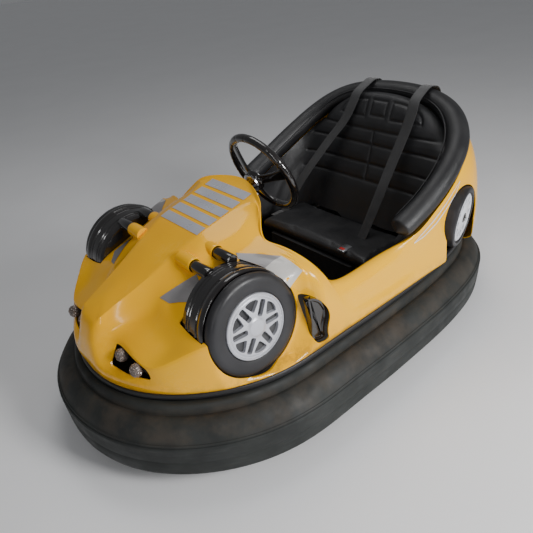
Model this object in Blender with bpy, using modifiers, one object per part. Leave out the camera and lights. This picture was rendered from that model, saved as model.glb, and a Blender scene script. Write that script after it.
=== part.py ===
# Bumper car, metres, +Z up. The car points along -Y, its left side is +X.
# The origin lies on the floor, under the middle of the bumper ring.
import math

import bmesh
import bpy
import numpy as np
from mathutils import Matrix, Vector

for old in list(bpy.data.objects):
    bpy.data.objects.remove(old, do_unlink=True)

# ---------------------------------------------------------------- sizes
GAP = 0.0003                 # between pieces that touch
# radii of the bumper ring and of the line the body hem follows at its own inset, every
# 15 degrees from the front (0) to the rear (180)
RING_RADII = (.984, .962, .890, .789, .677, .600, .574, .584, .635, .732, .864, .951, .966)
BODY_RADII = (.975, .951, .878, .783, .675, .599, .574, .585, .638, .738, .875, .963, .975)
TREAD_LOW = 0.083            # lower edge of the bumper's tread band
TREAD_HIGH = 0.1975          # upper shoulder of the tread band
GROOVE_Z = 0.272             # groove at the bead
RING_DEPTH = 0.118           # from the tread to the steel ring
HEM_INSET = 0.103            # from the body line to the hem
HEM_Z = 0.320
SHELL_WALL = 0.004
FLOOR_TOP = 0.130
FLOOR_PLATE = 0.004
RAIL_PLATE = 0.005           # steel ring that carries the bumper
DRIVE_Y = -0.50              # steered drive wheel under the nose
DRIVE_RADIUS = 0.110
DRIVE_WIDTH = 0.050
WELL_RADIUS = 0.185
WELL_TOP = 0.300
ROLLER_X = 0.292             # rear running wheels
ROLLER_Y = 0.500
ROLLER_RADIUS = 0.100
ROLLER_WIDTH = 0.040
COLUMN_TILT = 22.0           # the steering wheel's plane against the vertical
WHEEL_AT = (0.0, -0.067, 0.757)
WHEEL_RADIUS = 0.170         # steering wheel, to its outside
WHEEL_GRIP = 0.015
WHEEL_DISH = 0.042           # its boss lies this far behind the rim
DUMMY_HUB = (0.434, -0.487, 0.497)   # dummy front wheel, left
DUMMY_CAMBER = 5.6
DUMMY_RADIUS = 0.165
DRUM_RADIUS = 0.170
DRUM_INNER_X = 0.277
REAR_DUMMY = (0.462, 0.522, 0.490)
REAR_DUMMY_TURN = 17.0       # its face looks a little to the rear
REAR_DUMMY_LEAN = -6.0       # and a little down
REAR_DUMMY_RADIUS = 0.125
PAD_RADIUS = 0.043

# ---------------------------------------------------------------- colours
FINISH = {
    "yellow": ((0.90, 0.50, 0.02), 0.16, 0.0),
    "bumper_rubber": ((0.022, 0.026, 0.025), 0.75, 0.0),
    "leatherette": ((0.012, 0.012, 0.014), 0.42, 0.0),
    "webbing": ((0.010, 0.010, 0.011), 0.8, 0.0),
    "gloss_black": ((0.008, 0.007, 0.007), 0.10, 0.0),
    "tyre_black": ((0.015, 0.015, 0.017), 0.45, 0.0),
    "silver": ((0.62, 0.63, 0.68), 0.30, 0.35),
    "white": ((0.78, 0.80, 0.84), 0.30, 0.0),
    "steel": ((0.30, 0.31, 0.33), 0.40, 0.9),
    "frame_paint": ((0.030, 0.032, 0.036), 0.45, 0.3),
    "chrome": ((0.80, 0.80, 0.82), 0.08, 1.0),
    "lamp_glass": ((0.55, 0.45, 0.40), 0.10, 0.1),
    "cast": ((0.20, 0.21, 0.22), 0.50, 0.8),
}

scene = bpy.context.scene
parts = bpy.data.collections.new("bumper_car")
scene.collection.children.link(parts)
cutters = bpy.data.collections.new("cutters")
scene.collection.children.link(cutters)


def finish(name):
    found = bpy.data.materials.get(name)
    if found:
        return found
    colour, rough, metal = FINISH[name]
    made = bpy.data.materials.new(name)
    made.use_nodes = True
    shader = made.node_tree.nodes["Principled BSDF"]
    shader.inputs["Base Color"].default_value = (*colour, 1)
    shader.inputs["Roughness"].default_value = rough
    shader.inputs["Metallic"].default_value = metal
    made.diffuse_color = (*colour, 1)
    return made


def keep(obj, look):
    """Files the object under the car, or under the cutters when it has no finish."""
    for home in list(obj.users_collection):
        home.objects.unlink(obj)
    if look is None:
        cutters.objects.link(obj)
        obj.hide_render = True
        obj.display_type = "WIRE"
    else:
        parts.objects.link(obj)
        obj.data.materials.clear()
        obj.data.materials.append(finish(look))
    return obj


def from_points(name, verts, faces, look):
    mesh = bpy.data.meshes.new(name)
    mesh.from_pydata([tuple(map(float, v)) for v in verts], [], faces)
    work = bmesh.new()
    work.from_mesh(mesh)
    bmesh.ops.recalc_face_normals(work, faces=work.faces)
    work.to_mesh(mesh)
    work.free()
    mesh.shade_smooth()
    mesh.set_sharp_from_angle(angle=math.radians(32))
    obj = bpy.data.objects.new(name, mesh)
    scene.collection.objects.link(obj)
    return keep(obj, look)


def loft(name, rows, look, wrap_rows=False, wrap_points=True, caps=False):
    """A skin over rows of points. wrap_rows joins the last row to the first."""
    count = len(rows[0])
    verts = [p for row in rows for p in row]
    faces = []
    for i in range(len(rows) if wrap_rows else len(rows) - 1):
        k = (i + 1) % len(rows)
        for j in range(count if wrap_points else count - 1):
            m = (j + 1) % count
            faces.append((i * count + j, i * count + m, k * count + m, k * count + j))
    if caps:
        faces.append(tuple(range(count))[::-1])
        faces.append(tuple((len(rows) - 1) * count + j for j in range(count)))
    return from_points(name, verts, faces, look)


def aim(direction):
    """Rotation that turns +Z to the direction, with +X kept as level as it can be."""
    z = Vector(direction).normalized()
    side = Vector((0, 0, 1)) if abs(z.z) < 0.9 else Vector((0, 1, 0))
    x = side.cross(z).normalized()
    y = z.cross(x)
    return Matrix((x, y, z)).transposed().to_euler()


def turned(name, profile, at, direction, steps, look):
    """Profile of (radius, height) turned about its height axis. An end at radius 0 closes itself."""
    mesh = bpy.data.meshes.new(name)
    closed = profile[0][0] > 1e-6 or profile[-1][0] > 1e-6
    edges = [(i, i + 1) for i in range(len(profile) - 1)]
    if closed:
        edges.append((len(profile) - 1, 0))
    mesh.from_pydata([(r, 0.0, h) for r, h in profile], edges, [])
    obj = bpy.data.objects.new(name, mesh)
    scene.collection.objects.link(obj)
    screw = obj.modifiers.new("Screw", "SCREW")
    screw.steps = steps
    screw.render_steps = steps
    screw.use_merge_vertices = True
    screw.merge_threshold = 0.0001
    screw.use_smooth_shade = True
    area = sum(a[0] * b[1] - b[0] * a[1] for a, b in zip(profile, profile[1:] + profile[:1]))
    screw.use_normal_flip = area > 0
    obj.location = at
    obj.rotation_euler = aim(direction)
    bpy.context.view_layer.update()
    solid = bpy.data.meshes.new_from_object(obj.evaluated_get(bpy.context.evaluated_depsgraph_get()))
    solid.name = name
    solid.shade_smooth()
    solid.set_sharp_from_angle(angle=math.radians(32))
    obj.modifiers.clear()
    obj.data = solid
    return keep(obj, look)


def cylinder(name, radius, length, at, direction, look, steps=24, inner=0.0):
    half = length / 2
    if inner:
        profile = [(inner, -half), (radius, -half), (radius, half), (inner, half)]
    else:
        profile = [(0, -half), (radius, -half), (radius, half), (0, half)]
    return turned(name, profile, at, direction, steps, look)


def box(name, size, at, look, turn=(0, 0, 0)):
    bpy.ops.mesh.primitive_cube_add(size=1, location=at, rotation=turn)
    obj = bpy.context.object
    obj.name = name
    obj.data.name = name
    obj.data.transform(Matrix.Diagonal((*size, 1)))
    return keep(obj, look)


def extrude_outline(name, outline, low, high, look):
    count = len(outline)
    rows = [[(x, y, low) for x, y in outline], [(x, y, high) for x, y in outline]]
    return loft(name, rows, look, caps=True) if count else None


def cut(obj, other, operation="DIFFERENCE"):
    mod = obj.modifiers.new(operation.title(), "BOOLEAN")
    mod.operation = operation
    mod.solver = "EXACT"
    mod.object = other
    return mod


def bevel(obj, width, segments=2, angle=30):
    mod = obj.modifiers.new("Bevel", "BEVEL")
    mod.width = width
    mod.segments = segments
    mod.limit_method = "ANGLE"
    mod.angle_limit = math.radians(angle)
    return mod


# ---------------------------------------------------------------- ring outline
def series(values):
    """Cosine series through evenly spaced values from 0 to 180 degrees."""
    n = len(values) - 1
    k = np.arange(n + 1)
    table = np.cos(np.outer(np.pi * k / n, k))
    return np.linalg.solve(table, np.array(values))


RING_TERMS = series(RING_RADII)
BODY_TERMS = series(BODY_RADII)


def radius_at(turn, terms):
    return float(terms @ np.cos(np.arange(len(terms)) * turn))


def ring_point(turn, inset=0.0, terms=RING_TERMS):
    """Point of an outline, turn in radians from the front, moved in along the normal."""
    step = 1e-4
    a = radius_at(turn - step, terms)
    b = radius_at(turn + step, terms)
    r = radius_at(turn, terms)
    back = Vector((a * math.sin(turn - step), -a * math.cos(turn - step)))
    ahead = Vector((b * math.sin(turn + step), -b * math.cos(turn + step)))
    along = (ahead - back).normalized()
    normal = Vector((along.y, -along.x))
    here = Vector((r * math.sin(turn), -r * math.cos(turn)))
    moved = here - normal * inset
    return moved.x, moved.y


def ring_rows(section, count, terms=RING_TERMS):
    rows = []
    for i in range(count):
        turn = 2 * math.pi * i / count
        rows.append([(*ring_point(turn, inset, terms), z) for inset, z in section])
    return rows


def outline(inset, count):
    return [ring_point(2 * math.pi * i / count, inset) for i in range(count)]


def hem_point(turn):
    return ring_point(turn, HEM_INSET, BODY_TERMS)


def hem_at(y):
    """Hem point at this y on the left side."""
    low, high = (0.0, math.pi)
    for _ in range(40):
        mid = (low + high) / 2
        if hem_point(mid)[1] < y:
            low = mid
        else:
            high = mid
    return hem_point((low + high) / 2)


# ---------------------------------------------------------------- bumper
BUMPER_SECTION = [
    (0.011, TREAD_LOW), (0.000, TREAD_HIGH), (0.014, 0.224), (0.046, 0.258),
    (0.080, GROOVE_Z), (0.088, 0.290), (0.104, 0.298), (RING_DEPTH, 0.290),
    (RING_DEPTH, 0.110), (0.080, 0.088), (0.040, 0.074),
]
loft("bumper_tyre", ring_rows(BUMPER_SECTION, 48), "bumper_rubber", wrap_rows=True)

RAIL_IN = RING_DEPTH + GAP
rail_section = [
    (RAIL_IN, 0.100), (RAIL_IN, 0.2996), (RAIL_IN + 0.030, 0.2996), (RAIL_IN + 0.030, 0.2946),
    (RAIL_IN + RAIL_PLATE, 0.2946), (RAIL_IN + RAIL_PLATE, 0.100),
]
loft("bumper_rail", ring_rows(rail_section, 48), "frame_paint", wrap_rows=True)

# black edging under the body's hem, resting on the bead
TRIM_LOW = 0.3010
trim_section = [
    (HEM_INSET - 0.003, TRIM_LOW), (HEM_INSET - 0.004, TRIM_LOW + 0.009),
    (HEM_INSET - 0.002, HEM_Z - GAP), (HEM_INSET + 0.008, HEM_Z - GAP), (HEM_INSET + 0.008, TRIM_LOW),
]
loft("hem_trim", ring_rows(trim_section, 48, BODY_TERMS), "leatherette", wrap_rows=True)

# ---------------------------------------------------------------- floor and chassis
floor = extrude_outline("floor_pan", outline(RAIL_IN + RAIL_PLATE + 0.001, 48),
                        FLOOR_TOP - FLOOR_PLATE, FLOOR_TOP, "frame_paint")
well_hole = cylinder("cut_well", WELL_RADIUS, 0.1, (0, DRIVE_Y, FLOOR_TOP), (0, 0, 1), None, 32)
cut(floor, well_hole)
for side, sign in (("left", 1), ("right", -1)):
    slot = box("cut_slot_" + side, (0.080, 2 * ROLLER_RADIUS + 0.03, 0.1),
               (sign * ROLLER_X, ROLLER_Y, FLOOR_TOP), None)
    cut(floor, slot)

# inverted round tub over the drive unit, and the bearing tube of its king pin
turned("drive_well", [
    (WELL_RADIUS - 0.006, FLOOR_TOP - 0.010), (WELL_RADIUS - 0.001, FLOOR_TOP - 0.010),
    (WELL_RADIUS - 0.001, WELL_TOP + 0.006), (0.032, WELL_TOP + 0.006), (0.032, 0.470),
    (0.0162, 0.470), (0.0162, WELL_TOP - 0.020), (0.032, WELL_TOP - 0.020),
    (0.032, WELL_TOP), (WELL_RADIUS - 0.006, WELL_TOP)],
    (0, DRIVE_Y, 0), (0, 0, 1), 32, "frame_paint")

frame_base = box("chassis_frame", (0.04, 1.28, 0.030), (0.235, 0.08, FLOOR_TOP - FLOOR_PLATE - 0.0153),
                 "frame_paint")
low = FLOOR_TOP - FLOOR_PLATE - 0.0153
joined = [
    box("rail_right", (0.04, 1.28, 0.030), (-0.235, 0.08, low), None),
    box("cross_front", (0.86, 0.04, 0.030), (0, -0.27, low), None),
    box("cross_mid", (0.86, 0.04, 0.030), (0, 0.12, low), None),
    box("cross_rear", (0.82, 0.04, 0.030), (0, 0.355, low), None),
    box("cross_tail", (0.54, 0.04, 0.030), (0, 0.70, low), None),
]
for piece in joined:
    cut(frame_base, piece, "UNION")

# ---------------------------------------------------------------- line of the padded rim
# control points of the padded rim, from its left front end to the middle of the rear
PAD_HALF = [(.438, .160, .5580), (.444, .280, .6010), (.441, .380, .6470), (.427, .480, .6990),
            (.396, .575, .7580), (.338, .642, .8120), (.256, .688, .8520), (.140, .716, .8740),
            (0, .724, .8800)]
PAD_PATH = PAD_HALF + [(-x, y, z) for x, y, z in PAD_HALF[-2::-1]]


def pad_line(place):
    """Point of the rim's centre line, a quadratic B-spline, place counted in spans."""
    last = len(PAD_PATH) - 2
    knots = [0, 0] + list(range(last + 1)) + [last, last]
    span = min(int(place), last - 1) + 2
    work = [Vector(PAD_PATH[span - 2 + j]) for j in range(3)]
    for level in (1, 2):
        for j in range(2, level - 1, -1):
            low = knots[span - 2 + j]
            high = knots[span + 1 + j - level]
            work[j] = work[j - 1].lerp(work[j], (place - low) / (high - low))
    return work[2]


def beside_pad(place, angle, clear):
    """Point round the left half of the rim: angle 0 is level and outwards, 90 is below."""
    centre = pad_line(place)
    along = (pad_line(place + 0.01) - pad_line(max(0, place - 0.01))).normalized()
    out = along.cross(Vector((0, 0, 1))).normalized()
    if out.x * centre.x + out.y * centre.y < 0:
        out = -out
    below = along.cross(out)
    if below.z > 0:
        below = -below
    turn = math.radians(angle)
    return tuple(centre + (out * math.cos(turn) + below * math.sin(turn)) * (PAD_RADIUS + clear))


def crest(place, clear=0.003):
    """The shell's edge tucked under the rim."""
    return [beside_pad(place, 45, clear), beside_pad(place, 63, clear + .001),
            beside_pad(place, 88, clear + .003), beside_pad(place, 97, clear + .023)]


# ---------------------------------------------------------------- body shell
# One row per station from the nose round to the tail, left half. Each row runs
# from the hem up to the centre line, or to the edge of the cockpit.
def row(y, *points, hem=None):
    start = hem if hem else hem_at(y)
    return [(start[0], start[1], HEM_Z)] + list(points)


SHELL_ROWS = [
    # keel between the lamps
    [(0, -.872, HEM_Z), (0, -.876, .345), (0, -.878, .375), (0, -.872, .41), (0, -.866, .44),
     (0, -.858, .465), (0, -.850, .488), (0, -.842, .504), (0, -.832, .519), (0, -.80, .535)],
    row(0, (.060, -.875, .345), (.060, -.876, .375), (.060, -.868, .41), (.058, -.860, .44),
        (.057, -.851, .465), (.056, -.843, .488), (.055, -.836, .504), (.053, -.830, .518),
        (0, -.775, .548), hem=hem_point(0.070)),
    row(0, (.107, -.869, .345), (.108, -.867, .372), (.106, -.838, .392), (.102, -.800, .452),
        (.098, -.790, .470), (.092, -.784, .487), (.080, -.787, .508), (.0605, -.790, .537),
        (0, -.745, .562), hem=hem_point(0.1275)),
    row(0, (.192, -.842, .345), (.194, -.841, .370), (.192, -.822, .390), (.188, -.794, .443),
        (.180, -.745, .478), (.148, -.705, .508), (.118, -.700, .545), (.0825, -.670, .588),
        (0, -.660, .604), hem=hem_point(0.232)),
    row(0, (.289, -.793, .345), (.293, -.794, .366), (.293, -.788, .388), (.280, -.785, .430),
        (.262, -.715, .475), (.186, -.665, .540), (.135, -.630, .585), (.096, -.585, .630),
        (0, -.575, .645), hem=hem_point(0.352)),
    row(-.735, (.358, -.737, .345), (.362, -.738, .370), (.362, -.733, .420), (.352, -.722, .470),
        (.300, -.690, .492), (.198, -.640, .555), (.148, -.590, .605), (.103, -.543, .649),
        (0, -.533, .662)),
    row(-.655, (.421, -.657, .345), (.426, -.658, .370), (.429, -.655, .440), (.418, -.650, .512),
        (.330, -.645, .524), (.215, -.600, .572), (.165, -.540, .632), (.112, -.490, .673),
        (0, -.480, .686)),
    row(-.585, (.458, -.585, .345), (.462, -.585, .362), (.462, -.582, .400), (.440, -.580, .500),
        (.330, -.572, .545), (.225, -.548, .592), (.175, -.490, .655), (.119, -.435, .695),
        (0, -.425, .705)),
    row(-.487, (.481, -.487, .345), (.484, -.487, .360), (.483, -.487, .400), (.450, -.487, .500),
        (.335, -.490, .575), (.238, -.480, .612), (.187, -.425, .672), (.1195, -.365, .712),
        (0, -.355, .722)),
    row(-.390, (.488, -.390, .345), (.490, -.390, .370), (.489, -.385, .440), (.440, -.362, .565),
        (.345, -.362, .628), (.250, -.385, .640), (.205, -.350, .682), (.128, -.290, .732),
        (0, -.275, .743)),
    row(-.330, (.491, -.330, .345), (.492, -.330, .380), (.488, -.325, .450), (.460, -.312, .548),
        (.395, -.308, .616), (.272, -.338, .645), (.216, -.302, .680), (.160, -.245, .742),
        (0, -.193, .768)),
    row(-.300, (.492, -.300, .345), (.493, -.300, .380), (.489, -.297, .450), (.465, -.290, .548),
        (.408, -.288, .618), (.290, -.315, .645), (.226, -.292, .675), (.186, -.248, .733),
        (.115, -.205, .763)),
    row(-.280, (.492, -.280, .345), (.493, -.280, .380), (.490, -.278, .450), (.468, -.275, .548),
        (.418, -.276, .615), (.305, -.300, .645), (.238, -.290, .667), (.208, -.262, .712),
        (.180, -.232, .744)),
    row(-.260, (.493, -.260, .345), (.494, -.260, .380), (.490, -.259, .450), (.469, -.262, .548),
        (.426, -.267, .610), (.320, -.290, .645), (.258, -.294, .657), (.228, -.280, .690),
        (.212, -.258, .708)),
    row(-.240, (.493, -.240, .345), (.494, -.240, .380), (.490, -.242, .450), (.469, -.250, .546),
        (.432, -.257, .604), (.335, -.281, .643), (.274, -.291, .653), (.250, -.290, .666),
        (.236, -.278, .672)),
    row(-.220, (.493, -.220, .345), (.495, -.220, .380), (.489, -.224, .450), (.468, -.238, .543),
        (.437, -.247, .598), (.356, -.272, .639), (.304, -.281, .650), (.275, -.284, .651),
        (.262, -.278, .640)),
    row(-.200, (.494, -.200, .345), (.495, -.200, .378), (.488, -.206, .445), (.466, -.225, .536),
        (.441, -.236, .588), (.385, -.258, .629), (.345, -.266, .643), (.316, -.268, .643),
        (.305, -.262, .630)),
    row(-.180, (.494, -.180, .345), (.495, -.180, .376), (.486, -.188, .438), (.464, -.208, .522),
        (.445, -.220, .570), (.412, -.238, .608), (.388, -.244, .618), (.372, -.243, .612),
        (.366, -.238, .598)),
    row(-.155, (.494, -.155, .345), (.495, -.155, .374), (.484, -.164, .430), (.464, -.184, .498),
        (.450, -.195, .540), (.432, -.207, .565), (.418, -.210, .572), (.406, -.208, .565),
        (.402, -.204, .550)),
    row(-.120, (.494, -.120, .345), (.495, -.120, .372), (.482, -.128, .415), (.469, -.145, .468),
        (.456, -.152, .492), (.442, -.155, .500), (.428, -.155, .500), (.417, -.154, .490),
        (.413, -.152, .465)),
    row(.000, (.492, .000, .345), (.494, .000, .370), (.481, .000, .405), (.474, .000, .462),
        (.461, .000, .493), (.445, .000, .503), (.429, .000, .501), (.417, .000, .490),
        (.413, .000, .462)),
    row(.120, (.489, .120, .345), (.491, .120, .372), (.478, .120, .408), (.473, .120, .470),
        (.463, .120, .500), (.448, .120, .510), (.432, .120, .508), (.420, .120, .496),
        (.415, .120, .468)),
    row(.200, (.487, .200, .345), (.489, .200, .374), (.478, .200, .415), (.474, .200, .470),
        (.474, .200, .505), *crest(0.25, 0.009)),
    row(.300, (.483, .300, .345), (.486, .300, .376), (.478, .300, .430), (.474, .300, .490),
        (.475, .300, .540), *crest(0.8)),
    row(.400, (.482, .400, .345), (.486, .400, .378), (.481, .400, .440), (.474, .400, .520),
        (.473, .401, .575), *crest(1.6)),
    row(.530, (.468, .530, .345), (.474, .530, .380), (.474, .530, .455), (.467, .530, .560),
        (.456, .532, .640), *crest(2.8)),
    row(.660, (.428, .660, .345), (.436, .660, .385), (.440, .660, .470), (.432, .658, .590),
        (.410, .655, .690), *crest(4.0)),
    row(.770, (.342, .775, .345), (.352, .778, .390), (.358, .778, .485), (.350, .768, .635),
        (.326, .743, .740), *crest(5.1)),
    row(.840, (.226, .846, .345), (.232, .850, .395), (.236, .850, .495), (.229, .831, .670),
        (.209, .790, .785), *crest(6.1)),
    row(.862, (.112, .870, .345), (.115, .874, .400), (.117, .874, .500), (.113, .851, .680),
        (.104, .805, .798), *crest(6.8)),
    [(0, .872, HEM_Z), (0, .876, .345), (0, .880, .400), (0, .880, .500), (0, .857, .680),
     (0, .810, .801)] + [(0, y, z) for x, y, z in crest(7.5)],
]


def mirrored_skin(name, rows, look, wall, outward=False):
    """Half skin over the rows, mirrored to the right and given its wall."""
    count = len(rows[0])
    verts = [p for line in rows for p in line]
    faces = []
    for i in range(len(rows) - 1):
        for j in range(count - 1):
            a = i * count + j
            faces.append((a, a + count, a + count + 1, a + 1))
    mesh = bpy.data.meshes.new(name)
    mesh.from_pydata([tuple(map(float, v)) for v in verts], [], faces)
    obj = bpy.data.objects.new(name, mesh)
    scene.collection.objects.link(obj)
    mesh.shade_smooth()
    mirror = obj.modifiers.new("Mirror", "MIRROR")
    mirror.use_clip = True
    mirror.merge_threshold = 0.0001
    solid = obj.modifiers.new("Solidify", "SOLIDIFY")
    solid.thickness = wall
    solid.offset = 1 if outward else -1
    return keep(obj, look)


shell = mirrored_skin("body_shell", SHELL_ROWS, "yellow", SHELL_WALL)

camber = math.radians(DUMMY_CAMBER)
turn_back = math.radians(REAR_DUMMY_TURN)
lean = math.radians(REAR_DUMMY_LEAN)
LAMP_OPENING = [(.106, .446), (.272, .424), (.290, .390), (.205, .380), (.113, .384)]
# below the rear wheel the skirt is open down to the hem
half_skirt = (REAR_DUMMY_RADIUS + 0.001) * math.cos(turn_back)
REAR_SKIRT = [(REAR_DUMMY[1] - half_skirt + .006, REAR_DUMMY[2] - .031),
              (REAR_DUMMY[1] - half_skirt, REAR_DUMMY[2] - .130), (REAR_DUMMY[1] - half_skirt, .296),
              (REAR_DUMMY[1] + half_skirt, .296), (REAR_DUMMY[1] + half_skirt - .006, REAR_DUMMY[2] - .031)]
VENT_OUTLINE = [(-.312, .526), (-.286, .520), (-.256, .496), (-.236, .458), (-.234, .430),
                (-.246, .402), (-.250, .376), (-.246, .354), (-.262, .347), (-.296, .354),
                (-.306, .386), (-.302, .430), (-.306, .480)]


def shrink(points, by):
    """Closed outline moved inwards by a distance."""
    moved = []
    count = len(points)
    area = sum(points[i - 1][0] * points[i][1] - points[i][0] * points[i - 1][1] for i in range(count))
    way = 1 if area > 0 else -1
    for i in range(count):
        a, b, c = (Vector(points[(i + k) % count]) for k in (-1, 0, 1))
        first = (b - a).normalized()
        second = (c - b).normalized()
        n1 = Vector((-first.y, first.x)) * way
        n2 = Vector((-second.y, second.x)) * way
        n = (n1 + n2).normalized()
        moved.append(tuple(b + n * (by / max(0.3, n.dot(n1)))))
    return moved


def along_y(name, points, near, far, sign, look):
    rows = [[(sign * x, y, z) for x, z in points] for y in (near, far)]
    return loft(name, rows, look, caps=True)


def along_x(name, points, near, far, sign, look):
    rows = [[(sign * x, y, z) for y, z in points] for x in (near, far)]
    return loft(name, rows, look, caps=True)


def on_axis(at, axis, distance):
    return tuple(Vector(at) + Vector(axis) * distance)


for side, sign in (("left", 1), ("right", -1)):
    hub = (sign * DUMMY_HUB[0], DUMMY_HUB[1], DUMMY_HUB[2])
    axis = Vector((sign * math.cos(camber), 0, math.sin(camber)))
    rear_hub = (sign * REAR_DUMMY[0], REAR_DUMMY[1], REAR_DUMMY[2])
    rear_axis = Vector((sign * math.cos(turn_back), math.sin(turn_back), math.tan(lean))).normalized()

    cut(shell, cylinder("cut_drum_" + side, DRUM_RADIUS + 0.006, 0.180,
                        on_axis(hub, axis, -0.074), axis, None, 32))
    cut(shell, cylinder("cut_arch_" + side, 0.160, 0.140, (sign * 0.490, DUMMY_HUB[1], 0.506),
                        (sign, 0, 0), None, 32))
    cut(shell, cylinder("cut_rear_arch_" + side, REAR_DUMMY_RADIUS + 0.003, 0.120,
                        on_axis(rear_hub, rear_axis, 0.020), rear_axis, None, 28))
    cut(shell, along_x("cut_skirt_" + side, REAR_SKIRT, 0.33, 0.58, sign, None))
    cut(shell, along_y("cut_lamps_" + side, LAMP_OPENING, -0.90, -0.76, sign, None))
    cut(shell, along_x("cut_vent_" + side, VENT_OUTLINE, 0.40, 0.56, sign, None))

    # drum behind the dummy front wheel, with the two stubs that enter the nose
    guard = turned("wheel_guard_" + side, [
        (0, -.156), (.160, -.156), (DRUM_RADIUS, -.144), (DRUM_RADIUS, -.062), (.1735, -.056),
        (.1735, -.043), (.1690, -.0355), (.1640, -.0355), (.1640, -.150), (0, -.151)],
        hub, axis, 28, "gloss_black")
    for place, (y, z) in (("front", (-.529, .641)), ("rear", (-.441, .652))):
        stub = cylinder("stub_%s_%s" % (place, side), 0.020, 0.090, (sign * 0.240, y, z),
                        (sign, 0, 0), None, 16)
        cut(guard, stub, "UNION")
        cut(shell, cylinder("cut_stub_%s_%s" % (place, side), 0.0215, 0.090,
                            (sign * 0.225, y, z), (sign, 0, 0), None, 16))

    turned("front_tyre_" + side, [
        (0, -.0350), (.1655, -.0350), (.1650, -.0150), (.1600, -.0040), (.1480, .0005),
        (.1120, .0005), (.1090, -.0040), (.1090, -.0180), (0, -.0180)],
        hub, axis, 28, "tyre_black")
    cap = turned("front_hubcap_" + side, [
        (0, -.0177), (.1085, -.0177), (.1085, -.0040), (.1020, .0020), (.0930, -.0030),
        (.0280, .0020), (0, .0060)], hub, axis, 28, "silver")
    frame = Matrix.Translation(hub) @ aim(axis).to_matrix().to_4x4()
    for k in range(8):
        a = 2 * math.pi * (k + 0.5) / 8
        slot = box("cut_spoke_%d_%s" % (k, side), (0.046, 0.017, 0.012),
                   (0, 0, 0), None)
        slot.matrix_world = frame @ Matrix.Rotation(a, 4, "Z") @ Matrix.Translation((0.066, 0, 0))
        cut(cap, slot)

    turned("rear_tyre_" + side, [
        (0, -.062), (REAR_DUMMY_RADIUS - .003, -.056), (REAR_DUMMY_RADIUS - .003, .004),
        (REAR_DUMMY_RADIUS - .010, .0120), (REAR_DUMMY_RADIUS - .022, .0120), (REAR_DUMMY_RADIUS - .027, .0060),
        (REAR_DUMMY_RADIUS - .0275, -.0080), (0, -.0080)], rear_hub, rear_axis, 28, "tyre_black")
    turned("rear_hubcap_" + side, [
        (0, -.0077), (REAR_DUMMY_RADIUS - .028, -.0077), (REAR_DUMMY_RADIUS - .028, .0060),
        (REAR_DUMMY_RADIUS - .034, .0110), (.0250, .0110), (0, .0140)], rear_hub, rear_axis, 28, "white")

    along_y("lamp_housing_" + side, shrink(LAMP_OPENING, 0.0008), -0.782, -0.768, sign, "gloss_black")
    for place, (x, z) in (("inner", (.140, .4165)), ("outer", (.233, .4090))):
        turned("lamp_%s_%s" % (place, side), [
            (0, -.0230), (.0120, -.0225), (.0190, -.0150), (.0225, -.0040), (.0225, .0060), (.0185, .0155),
            (.0100, .0212), (0, .0232)], (sign * x, -0.808, z), (0, -1, 0), 16, "lamp_glass")
    along_x("side_vent_" + side, shrink(VENT_OUTLINE, 0.0008), 0.452, 0.474, sign, "gloss_black")

# ---------------------------------------------------------------- seat
def tub_top(place, angle=133):
    return beside_pad(place, angle, .0045)


# each row runs from under the rim down to the cushion; the back is a nearly flat panel
TUB_ROWS = [
    [tub_top(0.2), (.411, .175, .480), (.408, .175, .440), (.402, .175, .400), (.396, .175, .360),
     (.392, .175, .300)],
    [tub_top(0.7), (.411, .290, .530), (.409, .290, .480), (.402, .290, .430), (.394, .290, .370),
     (.386, .290, .300)],
    [tub_top(1.5), (.401, .388, .580), (.394, .384, .530), (.382, .380, .470), (.370, .372, .400),
     (.362, .360, .320)],
    [tub_top(2.6), (.374, .488, .645), (.360, .474, .590), (.343, .450, .520), (.325, .422, .440),
     (.312, .398, .350)],
    [tub_top(3.8), (.320, .555, .728), (.302, .522, .670), (.286, .490, .590), (.272, .455, .500),
     (.260, .408, .392)],
    [tub_top(4.4, 138), (.284, .583, .782), (.262, .549, .727), (.245, .510, .630), (.230, .466, .522),
     (.219, .407, .392)],
    [tub_top(5.0, 145), (.238, .603, .822), (.215, .566, .780), (.200, .524, .670), (.186, .478, .550),
     (.176, .405, .392)],
    [tub_top(5.7, 155), (.184, .611, .856), (.166, .572, .812), (.152, .527, .688), (.140, .480, .552),
     (.131, .405, .392)],
    [(.119, *tub_top(6.6, 165)[1:]), (.108, .617, .882), (.098, .578, .841), (.090, .530, .700),
     (.082, .480, .552), (.077, .405, .392)],
    [(0, *tub_top(7.5, 172)[1:]), (0, .620, .890), (0, .580, .850), (0, .532, .705), (0, .481, .552),
     (0, .405, .392)],
]
tub = mirrored_skin("seat_tub", TUB_ROWS, "leatherette", 0.004, outward=True)

pad_curve = bpy.data.curves.new("rim_pad_path", "CURVE")
pad_curve.dimensions = "3D"
pad_curve.bevel_depth = PAD_RADIUS
pad_curve.bevel_resolution = 2
pad_curve.use_fill_caps = True
pad_curve.resolution_u = 2
line = pad_curve.splines.new("NURBS")
line.points.add(len(PAD_PATH) - 1)
for point, place in zip(line.points, PAD_PATH):
    point.co = (*place, 1)
line.use_endpoint_u = True
line.order_u = 3
path = bpy.data.objects.new("rim_pad_path", pad_curve)
cutters.objects.link(path)
path.hide_render = True
bpy.context.view_layer.update()
pad_mesh = bpy.data.meshes.new_from_object(path.evaluated_get(bpy.context.evaluated_depsgraph_get()))
work = bmesh.new()
work.from_mesh(pad_mesh)
bmesh.ops.remove_doubles(work, verts=work.verts, dist=1e-5)
bmesh.ops.recalc_face_normals(work, faces=work.faces)
work.to_mesh(pad_mesh)
work.free()
pad = bpy.data.objects.new("rim_pad", pad_mesh)
keep(pad, "leatherette")

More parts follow.
